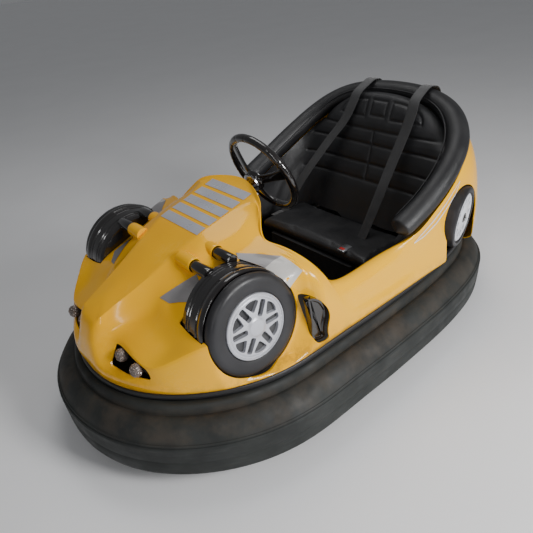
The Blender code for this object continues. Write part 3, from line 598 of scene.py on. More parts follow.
# %% Hard finishes
def hard_finish(name, shades, rough, metal=0.0, coat=0.0, scratch=None, amount=0.3,
                dust=(0.30, 0.27, 0.23), dusty=0.1, scale=6.0, texture=(300.0, 0.04)):
    material, tree, shader, place = new_finish(name, shades[0], rough[0], metal, coat)
    colour = vary(tree, shader, place, shades, rough, scale)
    if scratch:
        worn = use_group(tree, "fine_wear", Vector=place, Scale=60.0)["Mask"]
        colour = mix_colour(tree, times(tree, worn, amount), colour, scratch)
    dusty_colour(tree, shader, place, colour, dust, dusty)
    bump(tree, shader, noise(tree, place, texture[0], 3.0, 0.6), texture[1], 0.0006)
    return material


gloss = hard_finish(
    "gloss_black", ((0.008, 0.007, 0.007), (0.012, 0.010, 0.010)), (0.10, 0.22), coat=0.8,
    scratch=(0.06, 0.055, 0.055), amount=0.2, dust=(0.10, 0.085, 0.075), dusty=0.04)
tyre_face = hard_finish(
    "dummy_tyre", ((0.014, 0.014, 0.016), (0.022, 0.022, 0.025)), (0.34, 0.52),
    scratch=(0.05, 0.05, 0.055), dusty=0.04, texture=(380.0, 0.12))
wheel_rubber = hard_finish(
    "wheel_rubber", ((0.016, 0.016, 0.016), (0.030, 0.028, 0.026)), (0.6, 0.8),
    dusty=0.3, texture=(240.0, 0.25))
silver = hard_finish(
    "silver_plastic", ((0.60, 0.61, 0.66), (0.53, 0.54, 0.59)), (0.24, 0.38), 0.35, 0.3,
    scratch=(0.85, 0.86, 0.9), dust=(0.34, 0.31, 0.28), dusty=0.2)
white = hard_finish(
    "white_plastic", ((0.74, 0.76, 0.80), (0.66, 0.68, 0.72)), (0.25, 0.42), 0.0, 0.2,
    scratch=(0.45, 0.44, 0.43), dusty=0.12)
frame_paint = hard_finish(
    "frame_paint", ((0.030, 0.032, 0.036), (0.048, 0.048, 0.050)), (0.38, 0.6), 0.2,
    scratch=(0.30, 0.29, 0.28), amount=0.6, dusty=0.5, texture=(120.0, 0.2))
chrome = hard_finish(
    "chrome", ((0.80, 0.80, 0.82), (0.70, 0.70, 0.73)), (0.06, 0.18), 1.0,
    scratch=(0.45, 0.44, 0.43), dusty=0.05, texture=(200.0, 0.02))
cast = hard_finish(
    "cast_metal", ((0.20, 0.21, 0.22), (0.14, 0.145, 0.15)), (0.42, 0.62), 0.8,
    scratch=(0.5, 0.5, 0.5), dusty=0.35, texture=(420.0, 0.35))
buckle_steel = hard_finish(
    "buckle_steel", ((0.50, 0.51, 0.53), (0.40, 0.41, 0.43)), (0.22, 0.40), 0.9,
    scratch=(0.75, 0.75, 0.76), dusty=0.05)
red_button = hard_finish(
    "red_button", ((0.55, 0.02, 0.015), (0.42, 0.015, 0.012)), (0.3, 0.45),
    scratch=(0.7, 0.3, 0.25), dusty=0.05)
lens = hard_finish(
    "lamp_lens", ((0.26, 0.20, 0.17), (0.10, 0.075, 0.065)), (0.05, 0.14), 0.3, 1.0,
    scratch=(0.7, 0.65, 0.6), dusty=0.1, scale=60.0)
dark_grey = hard_finish(
    "dark_plastic", ((0.045, 0.045, 0.048), (0.07, 0.07, 0.074)), (0.4, 0.6), dusty=0.2)
grey_film = hard_finish(
    "grey_film", ((0.30, 0.29, 0.29), (0.24, 0.23, 0.235)), (0.28, 0.42), 0.1, 0.3,
    scratch=(0.55, 0.52, 0.45), dusty=0.1)
light_film = hard_finish(
    "light_film", ((0.62, 0.60, 0.57), (0.54, 0.52, 0.49)), (0.26, 0.4), 0.0, 0.3,
    scratch=(0.45, 0.35, 0.2), dusty=0.1)
pale = hard_finish(
    "pale_floor", ((0.92, 0.92, 0.93), (0.90, 0.90, 0.91)), (0.55, 0.7), dusty=0.0, scale=1.5)
floor.data.materials.append(pale)
print(len(bpy.data.materials), "finishes")


def dress(obj, finish, body="car"):
    obj.data.materials.clear()
    obj.data.materials.append(finish)
    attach(obj, body)
    return obj


# %% [markdown]
# ## Outline of the bumper
# Seen from above the bumper is an oval with a waist at the rear wheels' height. Thirteen radii,
# one each 15 degrees, fix it, and a cosine series through them gives every point between, so
# the ring and everything that follows it stay perfectly smooth.

# %% Ring outline
RING_RADII = (.984, .962, .890, .789, .677, .600, .574, .584, .635, .732, .864, .951, .966)
BODY_RADII = (.975, .951, .878, .783, .675, .599, .574, .585, .638, .738, .875, .963, .975)


def series(values):
    count = len(values) - 1
    k = np.arange(count + 1)
    return np.linalg.solve(np.cos(np.outer(np.pi * k / count, k)), np.array(values))


RING_TERMS, BODY_TERMS = series(RING_RADII), series(BODY_RADII)


def ring_point(turn, inset=0.0, terms=RING_TERMS):
    """Point of an outline, turn in radians from the front, moved in along the normal."""
    k = np.arange(len(terms))
    near = [Vector((math.sin(t), -math.cos(t))) * float(terms @ np.cos(k * t))
            for t in (turn - 1e-4, turn, turn + 1e-4)]
    along = (near[2] - near[0]).normalized()
    moved = near[1] - Vector((along.y, -along.x)) * inset
    return moved.x, moved.y


def swept_ring(name, section, steps=192, terms=RING_TERMS):
    """Closed section of (inset, height) carried round an outline."""
    rows = [[(*ring_point(turn, inset, terms), z) for inset, z in section + section[:1]]
            for turn in angles_round(steps)]
    return grid_skin(name, rows, wrap=True)


print("ring half-width", round(ring_point(math.pi / 2)[0], 3), "m")

# %% [markdown]
# ## Bumper
# The bumper is an inflated rubber tyre as long as the car. Its section has a flat tread band with
# a moulded line along the middle, two ribs at the shoulder, a bulging sidewall, a groove, and a
# bead lip that grips the steel ring. The section is drawn once and swept round the outline.

# %% Bumper tyre
bumper_section = [
    (.0130, .0830), (.0100, .0850), (.0085, .0930), (.0058, .1150), (.0040, .1370), (.0050, .1385),
    (.0050, .1405), (.0035, .1420), (.0018, .1700), (.0012, .1900), (.0000, .1950), (.0005, .1990),
    (.0030, .2025), (.0048, .2020), (.0060, .2045), (.0062, .2085), (.0085, .2110), (.0105, .2108),
    (.0125, .2140), (.0165, .2230), (.0240, .2350), (.0340, .2470), (.0450, .2560), (.0570, .2625),
    (.0680, .2660), (.0755, .2665), (.0795, .2645), (.0815, .2650), (.0825, .2700), (.0840, .2800),
    (.0865, .2880), (.0910, .2940), (.0970, .2972), (.1040, .2980), (.1110, .2970), (.1160, .2940),
    (.1178, .2890), (.1178, .2500), (.1178, .2000), (.1178, .1500), (.1178, .1120), (.1100, .1030),
    (.0950, .0950), (.0800, .0885), (.0600, .0800), (.0400, .0750), (.0280, .0745), (.0180, .0780)]
bumper = swept_ring("bumper_ring_tyre", bumper_section, 224)
soften(bumper, 60)
dress(bumper, rubber)
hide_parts("bumper_tyre")
print("bumper:", len(bumper.data.polygons), "faces")

# %% [markdown]
# ## Edging under the hem
# A soft black edging closes the gap between the body's hem and the bumper. It is a small rounded
# section swept round the body line.

# %% Hem edging
edging_section = [(.0985, .3008), (.0975, .3040), (.0975, .3110), (.0985, .3165), (.1010, .3192),
                  (.1060, .3200), (.1115, .3192), (.1120, .3100), (.1115, .3008), (.1050, .3004)]
edging = swept_ring("hem_edging", edging_section, 192, BODY_TERMS)
dress(soften(edging, 50), leather)
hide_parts("hem_trim")
print("edging:", len(edging.data.polygons), "faces")

# %% [markdown]
# ## Line of the padded rim
# The body's rear edge, the padded rim, the tub and the belts all follow one line round the back
# of the seat. A quadratic B-spline through a few control points gives it.

# %% Rim line
PAD_RADIUS = 0.043
PAD_HALF = [(.438, .160, .5580), (.444, .280, .6010), (.441, .380, .6470), (.427, .480, .6990),
            (.396, .575, .7580), (.338, .642, .8120), (.256, .688, .8520), (.140, .716, .8740),
            (0, .724, .8800)]
PAD_PATH = PAD_HALF + [(-x, y, z) for x, y, z in PAD_HALF[-2::-1]]
PAD_END = len(PAD_PATH) - 2


def pad_line(place):
    """Point of the rim's centre line. Place counts spans, from 0 at the left front end."""
    knots = [0, 0] + list(range(PAD_END + 1)) + [PAD_END, PAD_END]
    span = min(int(place), PAD_END - 1) + 2
    work = [Vector(PAD_PATH[span - 2 + j]) for j in range(3)]
    for depth in (1, 2):
        for j in range(2, depth - 1, -1):
            low, high = knots[span - 2 + j], knots[span + 1 + j - depth]
            work[j] = work[j - 1].lerp(work[j], (place - low) / (high - low))
    return work[2]


def pad_axes(place):
    """Outward, downward and lengthways directions of the rim."""
    along = (pad_line(min(PAD_END, place + .01)) - pad_line(max(0, place - .01))).normalized()
    out = along.cross(Vector((0, 0, 1))).normalized()
    here = pad_line(place)
    if out.x * here.x + out.y * here.y < 0:
        out = -out
    below = along.cross(out)
    return out, (-below if below.z > 0 else below), along


def beside_pad(place, angle, clear):
    """Point round the rim: angle 0 is level and outwards, 90 is below."""
    out, below, _ = pad_axes(place)
    turn = math.radians(angle)
    way = out * math.cos(turn) + below * math.sin(turn)
    return tuple(pad_line(place) + way * (PAD_RADIUS + clear))


def crest(place, clear=0.003):
    return [beside_pad(place, 45, clear), beside_pad(place, 63, clear + .001),
            beside_pad(place, 88, clear + .003), beside_pad(place, 97, clear + .023)]


print("rim line from", [round(v, 3) for v in pad_line(0)], "to", [round(v, 3) for v in pad_line(7.5)])

# %% [markdown]
# ## Body shell
# The body is one moulding: a flat nose with a crease along each side, deep dishes beside it for
# the dummy wheels, walls beside the cockpit and a high rounded tail. Its left half is a grid
# primitive of 29 stations from nose to tail with ten points each, from the hem to the middle or
# the cockpit's edge. Creases keep the nose's edges, a Mirror makes the right half and a
# Subdivision Surface rounds it.

# %% Stations of the body
HEM_INSET, HEM_Z = 0.103, 0.320


def hem_point(turn):
    return ring_point(turn, HEM_INSET, BODY_TERMS)


def hem_at(y):
    low, high = 0.0, math.pi
    for _ in range(40):
        mid = (low + high) / 2
        low, high = (mid, high) if hem_point(mid)[1] < y else (low, mid)
    return hem_point((low + high) / 2)


def station(y, *points, hem=None):
    start = hem if hem else hem_at(y)
    return [(start[0], start[1], HEM_Z)] + list(points)


SHELL_ROWS = [
    # keel between the lamps
    [(0, -.872, HEM_Z), (0, -.876, .345), (0, -.878, .375), (0, -.872, .41), (0, -.866, .44),
     (0, -.858, .465), (0, -.850, .488), (0, -.842, .504), (0, -.832, .519), (0, -.80, .535)],
    station(0, (.060, -.875, .345), (.060, -.876, .375), (.060, -.868, .41), (.058, -.860, .44),
        (.057, -.851, .465), (.056, -.843, .488), (.055, -.836, .504), (.053, -.830, .518),
        (0, -.775, .548), hem=hem_point(0.070)),
    station(0, (.107, -.869, .345), (.108, -.867, .372), (.106, -.838, .392), (.102, -.800, .452),
        (.098, -.790, .470), (.092, -.784, .487), (.080, -.787, .508), (.0605, -.790, .537),
        (0, -.745, .562), hem=hem_point(0.1275)),
    station(0, (.192, -.842, .345), (.194, -.841, .370), (.192, -.822, .390), (.188, -.794, .443),
        (.180, -.745, .478), (.148, -.705, .508), (.118, -.700, .545), (.0825, -.670, .588),
        (0, -.660, .604), hem=hem_point(0.232)),
    station(0, (.289, -.793, .345), (.293, -.794, .366), (.293, -.788, .388), (.280, -.785, .430),
        (.262, -.715, .475), (.186, -.665, .540), (.135, -.630, .585), (.096, -.585, .630),
        (0, -.575, .645), hem=hem_point(0.352)),
    station(-.735, (.358, -.737, .345), (.362, -.738, .370), (.362, -.733, .420), (.352, -.722, .470),
        (.300, -.690, .492), (.198, -.640, .555), (.148, -.590, .605), (.103, -.543, .649),
        (0, -.533, .662)),
    station(-.655, (.421, -.657, .345), (.426, -.658, .370), (.429, -.655, .440), (.418, -.650, .512),
        (.330, -.645, .524), (.215, -.600, .572), (.165, -.540, .632), (.112, -.490, .673),
        (0, -.480, .686)),
    station(-.585, (.458, -.585, .345), (.462, -.585, .362), (.462, -.582, .400), (.440, -.580, .500),
        (.330, -.572, .545), (.225, -.548, .592), (.175, -.490, .655), (.119, -.435, .695),
        (0, -.425, .705)),
    station(-.487, (.481, -.487, .345), (.484, -.487, .360), (.483, -.487, .400), (.450, -.487, .500),
        (.335, -.490, .575), (.238, -.480, .612), (.187, -.425, .672), (.1195, -.365, .712),
        (0, -.355, .722)),
    station(-.390, (.488, -.390, .345), (.490, -.390, .370), (.489, -.385, .440), (.440, -.362, .565),
        (.345, -.362, .628), (.250, -.385, .640), (.205, -.350, .682), (.128, -.290, .732),
        (0, -.275, .743)),
    station(-.330, (.491, -.330, .345), (.492, -.330, .380), (.488, -.325, .450), (.460, -.312, .548),
        (.395, -.308, .616), (.272, -.338, .645), (.216, -.302, .680), (.160, -.245, .742),
        (0, -.193, .768)),
    station(-.300, (.492, -.300, .345), (.493, -.300, .380), (.489, -.297, .450), (.465, -.290, .548),
        (.408, -.288, .618), (.290, -.315, .645), (.226, -.292, .675), (.186, -.248, .733),
        (.115, -.205, .763)),
    station(-.280, (.492, -.280, .345), (.493, -.280, .380), (.490, -.278, .450), (.468, -.275, .548),
        (.418, -.276, .615), (.305, -.300, .645), (.238, -.290, .667), (.208, -.262, .712),
        (.180, -.232, .744)),
    station(-.260, (.493, -.260, .345), (.494, -.260, .380), (.490, -.259, .450), (.469, -.262, .548),
        (.426, -.267, .610), (.320, -.290, .645), (.258, -.294, .657), (.228, -.280, .690),
        (.212, -.258, .708)),
    station(-.240, (.493, -.240, .345), (.494, -.240, .380), (.490, -.242, .450), (.469, -.250, .546),
        (.432, -.257, .604), (.335, -.281, .643), (.274, -.291, .653), (.250, -.290, .666),
        (.236, -.278, .672)),
    station(-.220, (.493, -.220, .345), (.495, -.220, .380), (.489, -.224, .450), (.468, -.238, .543),
        (.437, -.247, .598), (.356, -.272, .639), (.304, -.281, .650), (.275, -.284, .651),
        (.262, -.278, .640)),
    station(-.200, (.494, -.200, .345), (.495, -.200, .378), (.488, -.206, .445), (.466, -.225, .536),
        (.441, -.236, .588), (.385, -.258, .629), (.345, -.266, .643), (.316, -.268, .643),
        (.305, -.262, .630)),
    station(-.180, (.494, -.180, .345), (.495, -.180, .376), (.486, -.188, .438), (.464, -.208, .522),
        (.445, -.220, .570), (.412, -.238, .608), (.388, -.244, .618), (.372, -.243, .612),
        (.366, -.238, .598)),
    station(-.155, (.494, -.155, .345), (.495, -.155, .374), (.484, -.164, .430), (.464, -.184, .498),
        (.450, -.195, .540), (.432, -.207, .565), (.418, -.210, .572), (.406, -.208, .565),
        (.402, -.204, .550)),
    station(-.120, (.494, -.120, .345), (.495, -.120, .372), (.482, -.128, .415), (.469, -.145, .468),
        (.456, -.152, .492), (.442, -.155, .500), (.428, -.155, .500), (.417, -.154, .490),
        (.413, -.152, .465)),
    station(.000, (.492, .000, .345), (.494, .000, .370), (.481, .000, .405), (.474, .000, .462),
        (.461, .000, .493), (.445, .000, .503), (.429, .000, .501), (.417, .000, .490),
        (.413, .000, .462)),
    station(.120, (.489, .120, .345), (.491, .120, .372), (.478, .120, .408), (.473, .120, .470),
        (.463, .120, .500), (.448, .120, .510), (.432, .120, .508), (.420, .120, .496),
        (.415, .120, .468)),
    station(.200, (.487, .200, .345), (.489, .200, .374), (.478, .200, .415), (.474, .200, .470),
        (.474, .200, .505), *crest(0.25, 0.009)),
    station(.300, (.483, .300, .345), (.486, .300, .376), (.478, .300, .430), (.474, .300, .490),
        (.475, .300, .540), *crest(0.8)),
    station(.400, (.482, .400, .345), (.486, .400, .378), (.481, .400, .440), (.474, .400, .520),
        (.473, .401, .575), *crest(1.6)),
    station(.530, (.468, .530, .345), (.474, .530, .380), (.474, .530, .455), (.467, .530, .560),
        (.456, .532, .640), *crest(2.8)),
    station(.660, (.428, .660, .345), (.436, .660, .385), (.440, .660, .470), (.432, .658, .590),
        (.410, .655, .690), *crest(4.0)),
    station(.770, (.342, .775, .345), (.352, .778, .390), (.358, .778, .485), (.350, .768, .635),
        (.326, .743, .740), *crest(5.1)),
    station(.840, (.226, .846, .345), (.232, .850, .395), (.236, .850, .495), (.229, .831, .670),
        (.209, .790, .785), *crest(6.1)),
    station(.862, (.112, .870, .345), (.115, .874, .400), (.117, .874, .500), (.113, .851, .680),
        (.104, .805, .798), *crest(6.8)),
    [(0, .872, HEM_Z), (0, .876, .345), (0, .880, .400), (0, .880, .500), (0, .857, .680),
     (0, .810, .801)] + [(0, y, z) for x, y, z in crest(7.5)],
]
print(len(SHELL_ROWS), "stations of", len(SHELL_ROWS[0]), "points")

# %% [markdown]
# A subdivision surface shrinks inside its cage. To make the smooth skin pass through the
# stations, the cage is pushed out by what the smoothing takes away, twice over. Edges that are
# creased keep their line, so there the correction is less.

# %% Cage whose smooth skin meets the stations
CREASES = {8: 1.0, 6: 0.40, 5: 0.35, 4: 0.60}   # nose crease, wall foot, trough, pod ramp


def relaxed(cage, creases, mirror_column):
    """Where the smoothing takes each point of the cage."""
    along = cage.copy()
    along[1:-1] = (cage[:-2] + 4 * cage[1:-1] + cage[2:]) / 6
    out = along.copy()
    for j in range(1, cage.shape[1] - 1):
        keep = creases.get(j, 0.0)
        smooth = (along[:, j - 1] + 4 * along[:, j] + along[:, j + 1]) / 6
        out[:, j] = keep * along[:, j] + (1 - keep) * smooth
    if mirror_column is not None:
        inner = along[:, -2] * (-1, 1, 1)
        middle = np.abs(cage[:, -1, 0]) < 1e-6
        out[middle, -1] = ((along[:, -2] + 4 * along[:, -1] + inner) / 6)[middle]
    return out


def corrected(rows, creases, mirror_column=True):
    target = np.array([[tuple(p) for p in r] for r in rows], float)
    cage = target.copy()
    for _ in range(2):
        cage += 0.85 * (target - relaxed(cage, creases, mirror_column))
        middle = np.abs(target[:, -1, 0]) < 1e-6
        cage[middle, -1, 0] = 0.0
    return cage


def smooth_skin(name, rows, creases, levels, crease_rows=(0, 999)):
    """Half skin over the rows, mirrored and subdivided, with its creases."""
    cage = corrected(rows, creases)
    obj = grid_skin(name, cage)
    across = cage.shape[1]
    mesh = obj.data
    amount = mesh.attributes.new("crease_edge", "FLOAT", "EDGE")
    for edge in mesh.edges:
        (i, j), (k, m) = (divmod(v, across) for v in edge.vertices)
        if j == m and j in creases and crease_rows[0] <= min(i, k) and max(i, k) <= crease_rows[1]:
            amount.data[edge.index].value = creases[j]
    mirror = obj.modifiers.new("mirror", "MIRROR")
    mirror.use_clip = True
    mirror.merge_threshold = 0.0001
    rounder = obj.modifiers.new("round", "SUBSURF")
    rounder.levels = rounder.render_levels = levels
    rounder.boundary_smooth = "PRESERVE_CORNERS"
    apply_all(obj)
    return merge(obj, 1e-6)


NOSE_STATIONS, MIDDLE_LOWERED = slice(3, 11), .007
for line in SHELL_ROWS[NOSE_STATIONS]:        # the nose's top stays flat between its creases
    x, y, z = line[-1]
    line[-1] = (x, y, z - MIDDLE_LOWERED)
shell = smooth_skin("body_moulding", SHELL_ROWS, CREASES, 3, (1, 12))
nose_face = min(shell.data.polygons, key=lambda f: f.center.y)
if nose_face.normal.y > 0:
    flip_faces(shell)
print("shell skin:", len(shell.data.polygons), "faces")

# %% [markdown]
# Behind and below each dummy front wheel the wall curves in to meet the tyre, so that no gap
# shows. This cove depends on the wheel's place, so it is made by moving the skin's own points.

# %% Coves round the front wheels
DUMMY_HUB, DUMMY_RADIUS, DRUM_RADIUS = (0.434, -0.487, 0.497), 0.165, 0.170
REAR_HUB, REAR_RADIUS = (0.462, 0.522, 0.490), 0.125
camber, turn_back, lean = math.radians(5.6), math.radians(17), math.radians(-6)
COVE_FROM, COVE_WIDTH, COVE_SINK, HEM_KEPT = 0.168, 0.085, 0.006, 0.022


def eased(value):
    value = np.clip(value, 0, 1)
    return value * value * (3 - 2 * value)


skin = places_of(shell)
from_hub = np.hypot(skin[:, 1] - DUMMY_HUB[1], skin[:, 2] - DUMMY_HUB[2])
face_x = DUMMY_HUB[0] + (DUMMY_HUB[2] - skin[:, 2]) * math.sin(camber) - COVE_SINK
share = (1 - eased((from_hub - COVE_FROM) / COVE_WIDTH)) * eased((skin[:, 2] - HEM_Z) / HEM_KEPT)
excess = np.maximum(0, np.abs(skin[:, 0]) - face_x)
skin[:, 0] -= np.sign(skin[:, 0]) * excess * share
move_points(shell, skin)
outer_skin = BVHTree.FromObject(shell, bpy.context.evaluated_depsgraph_get())
print("cove depth", round(float((excess * share).max()) * 1000), "mm")

# %% [markdown]
# ## Openings in the shell
# The moulding is given a 4 mm wall and then cut: round openings for the dummy wheels, open
# skirts below them, three-sided recesses for the lamps, side vents, and holes for the guard's
# stubs. The cutters are primitives joined in one collection, so one Boolean takes them all.

# %% Wheel places and opening outlines
LAMP_OPENING = [(.106, .446), (.272, .424), (.290, .390), (.205, .380), (.113, .384)]
VENT_OUTLINE = [(-.312, .526), (-.286, .520), (-.256, .496), (-.236, .458), (-.234, .430),
                (-.246, .402), (-.250, .376), (-.246, .354), (-.262, .347), (-.296, .354),
                (-.306, .386), (-.302, .430), (-.306, .480)]
STUBS = [(-.529, .641), (-.441, .652)]


def front_axis(sign):
    return Vector((sign * math.cos(camber), 0, math.sin(camber)))


def rear_axis(sign):
    return Vector((sign * math.cos(turn_back), math.sin(turn_back), math.tan(lean))).normalized()


def seen_from_side(sign):
    """Places an outline of (y, z) points at a distance x on one side of the car."""
    return lambda y, z, x: Vector((sign * x, y, z))


def seen_from_front(sign):
    """Places an outline of (x, z) points at a distance y."""
    return lambda x, z, y: Vector((sign * x, y, z))


def lying(x, y, z):
    return Vector((x, y, z))


def rounded(points, reach, per_corner=4):
    """Closed outline with its corners rounded by a distance, as a list of points."""
    result = []
    for i in range(len(points)):
        before, here, after = (Vector(points[(i + k) % len(points)]) for k in (-1, 0, 1))
        a = here + (before - here).normalized() * min(reach, (before - here).length * 0.45)
        b = here + (after - here).normalized() * min(reach, (after - here).length * 0.45)
        for s in range(per_corner + 1):
            t = s / per_corner
            result.append(tuple(a * (1 - t) ** 2 + here * (2 * t * (1 - t)) + b * t ** 2))
    return result


def plate(name, points, place, near, far):
    """Outline filled and extruded: a circle primitive with its corners moved to the points."""
    bpy.ops.mesh.primitive_circle_add(vertices=len(points), fill_type="NGON")
    obj = call(bpy.context.object, name)
    for vertex, point in zip(obj.data.vertices, points):
        vertex.co = place(*point, near)
    edit(obj)
    depth = place(*points[0], far) - place(*points[0], near)
    bpy.ops.mesh.extrude_region_move(TRANSFORM_OT_translate={"value": depth})
    leave()
    return merge(obj)


def inner_outline(points, by):
    """Closed outline moved inwards by a distance."""
    area = sum(a[0] * b[1] - b[0] * a[1] for a, b in zip(points[-1:] + points[:-1], points))
    way = 1 if area > 0 else -1
    moved = []
    for i in range(len(points)):
        a, b, c = (Vector(points[(i + k) % len(points)]) for k in (-1, 0, 1))
        first, second = (b - a).normalized(), (c - b).normalized()
        n1, n2 = Vector((-first.y, first.x)) * way, Vector((-second.y, second.x)) * way
        n = (n1 + n2).normalized()
        moved.append(tuple(b + n * (by / max(0.3, n.dot(n1)))))
    return moved


for axis_name, axis in (("front", front_axis(1)), ("rear", rear_axis(1))):
    print(axis_name, "axis", [round(v, 3) for v in axis])

# %% Cut the openings
DRUM_CLEAR, TYRE_CLEAR, REAR_CLEAR, SKIRT_CLEAR = .0045, .0025, .003, .001
SHELL_WALL, LAMP_ROUND, VENT_ROUND = .004, .016, .012
hub_y, hub_z = REAR_HUB[1:]
half = (REAR_RADIUS + SKIRT_CLEAR) * math.cos(turn_back)
skirt = [(hub_y - half + .006, hub_z - .031), (hub_y - half, hub_z - .130), (hub_y - half, .296),
         (hub_y + half, .296), (hub_y + half - .006, hub_z - .031)]
wall = shell.modifiers.new("wall", "SOLIDIFY")
wall.thickness = SHELL_WALL
wall.offset = -1
apply_all(shell)


def bore(hub, axis, radius, start, end, sides=96):
    """Round cutter along a wheel's axis, between two distances from its hub."""
    return rod("knife", radius, hub + axis * start, hub + axis * end, sides, 0)


cutters = []
for sign in (1, -1):
    hub, hub_axis = on_side(DUMMY_HUB, sign), front_axis(sign)
    tail, tail_axis = on_side(REAR_HUB, sign) + rear_axis(sign) * .02, rear_axis(sign)
    cutters += [
        bore(hub, hub_axis, DRUM_RADIUS + DRUM_CLEAR, -.157, -.033),
        bore(hub, hub_axis, DUMMY_RADIUS + TYRE_CLEAR, -.045, .120),
        bore(tail, tail_axis, REAR_RADIUS + REAR_CLEAR, -.06, .06),
        plate("knife", skirt, seen_from_side(sign), .33, .58),
        plate("knife", rounded(LAMP_OPENING, LAMP_ROUND), seen_from_front(sign), -.90, -.76),
        plate("knife", rounded(VENT_OUTLINE, VENT_ROUND), seen_from_side(sign), .40, .56)]
    cutters += [bore(Vector((0, y, z)), Vector((sign, 0, 0)), .0215, .18, .27, 32) for y, z in STUBS]
knives = bpy.data.collections.new("knives")
bpy.context.scene.collection.children.link(knives)
for cutter in cutters:
    for home in list(cutter.users_collection):
        home.objects.unlink(cutter)
    knives.objects.link(cutter)
opening = shell.modifiers.new("openings", "BOOLEAN")
opening.solver = "EXACT"
opening.operand_type = "COLLECTION"
opening.collection = knives
apply_all(shell)
for cutter in cutters:
    bpy.data.objects.remove(cutter, do_unlink=True)
bpy.data.collections.remove(knives)
merge(shell, 2e-5, outward=False)
soften(shell, 24)
dress(shell, yellow)
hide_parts("body_shell")
print("shell with openings:", len(shell.data.polygons), "faces")

# %% [markdown]
# ## Dummy front wheels
# A glossy black drum stands in each dish, held by two stubs that enter the nose. In its mouth
# sits a dummy tyre with a satin face, and in that a silver hubcap. All three are turned round one
# axis, which leans out at the top. Fine ridge lines run round the drum, and a yellow socket on
# the nose takes each stub.

# %% Guards and tyres
guard_profile = [
    (0, -.156), (.150, -.156), (.163, -.152), (.169, -.144), (.170, -.128), (.1722, -.126),
    (.1722, -.122), (.170, -.120), (.170, -.114), (.1722, -.112), (.1722, -.108), (.170, -.106),
    (.170, -.078), (.1722, -.076), (.1722, -.072), (.170, -.070), (.170, -.064), (.1730, -.057),
    (.1735, -.050), (.1732, -.043), (.1712, -.0375), (.1690, -.0355), (.1655, -.0358), (.1640, -.038),
    (.1640, -.150), (0, -.151)]
tyre_profile = [
    (0, -.0345), (.150, -.0345), (.1630, -.0340), (.1655, -.0300), (.1658, -.0220), (.1652, -.0160),
    (.1625, -.0085), (.1570, -.0030), (.1500, 0), (.1400, .0006), (.1250, .0003), (.1150, -.0005),
    (.1115, -.0020), (.1095, -.0055), (.1090, -.0180), (0, -.0180)]
socket_profile = [
    (0, 0), (.0260, 0), (.0258, .040), (.0250, .070), (.0240, .0770), (.0225, .0790),
    (.0211, .0775), (.0208, .0650), (0, .0650)]
for side, sign in SIDES:
    hub, axis = on_side(DUMMY_HUB, sign), front_axis(sign)
    guard = turned("wheel_drum_" + side, guard_profile, hub, axis, 128)
    for y, z in STUBS:
        cut(guard, rod("stub", .020, (sign * .195, y, z), (sign * .285, y, z), 32), operation="UNION")
    dress(soften(guard, 30), gloss)
    for k, (y, z) in enumerate(STUBS):
        socket = turned("stub_socket_%d_%s" % (k, side), socket_profile, (sign * .125, y, z),
                        (sign, 0, 0), 48)
        dress(soften(socket, 40), yellow)
    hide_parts("wheel_guard_" + side)
    tyre = turned("dummy_tyre_front_" + side, tyre_profile, hub, axis, 128)
    dress(soften(tyre, 30), tyre_face)
    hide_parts("front_tyre_" + side)
print("guards and tyres made")

# %% [markdown]
# The hubcap is pressed to look like a spoked wheel: six long slots between six rounded windows,
# round a flat centre, inside a bright lip. The disc is turned, the openings are cut from it and
# its edges bevelled, and a dark disc behind shows through.

# %% Front hubcaps
def ray(points, angle):
    """Points turned round the hub by an angle."""
    c, s = math.cos(angle), math.sin(angle)
    return [(x * c - y * s, x * s + y * c) for x, y in points]


slot_shape = rounded([(.034, -.0095), (.088, -.0105), (.088, .0105), (.034, .0095)], .0075)
window_shape = rounded(
    [(.048, 0), (.0805, .0270), (.0875, .0140), (.0895, 0), (.0875, -.0140), (.0805, -.0270)], .007)
cap_profile = [
    (0, -.0120), (.1080, -.0120), (.1085, -.0100), (.1085, -.0035), (.1075, .0005), (.1050, .0022),
    (.1025, .0015), (.1010, -.0010), (.0985, -.0018), (.0950, -.0012), (.0925, .0004), (.0900, .0006),
    (.0850, -.0004), (.0600, .0012), (.0400, .0026), (.0300, .0040), (.0270, .0062), (.0240, .0068),
    (0, .0070)]
back_profile = [
    (0, -.0170), (.1080, -.0170), (.1080, -.0125), (.0400, -.0125), (.0380, -.0135), (0, -.0135)]
for side, sign in SIDES:
    cap = turned("front_wheel_trim_" + side, cap_profile, sides=96)
    cut(cap, *[plate("knife", ray(shape, angle * math.pi / 3), lying, -.02, .02)
               for k in range(6) for shape, angle in ((slot_shape, k), (window_shape, k + .5))])
    apply_all(bevel_edges(cap, 0.0009, above=50))
    hub, axis = on_side(DUMMY_HUB, sign), front_axis(sign)
    cap.data.transform(Matrix.Translation(hub) @ facing(axis))
    dress(soften(cap, 30), silver)
    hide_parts("front_hubcap_" + side)
    behind = turned("hub_back_" + side, back_profile, hub, axis, 64)
    dress(behind, dark_grey)
print("front hubcaps:", len(cap.data.polygons), "faces each")

# %% [markdown]
# ## Dummy rear wheels
# Smaller dummy wheels close the body beside the seat. Each is a black ring round a white disc
# with a circle of oval holes and a hole in its middle.

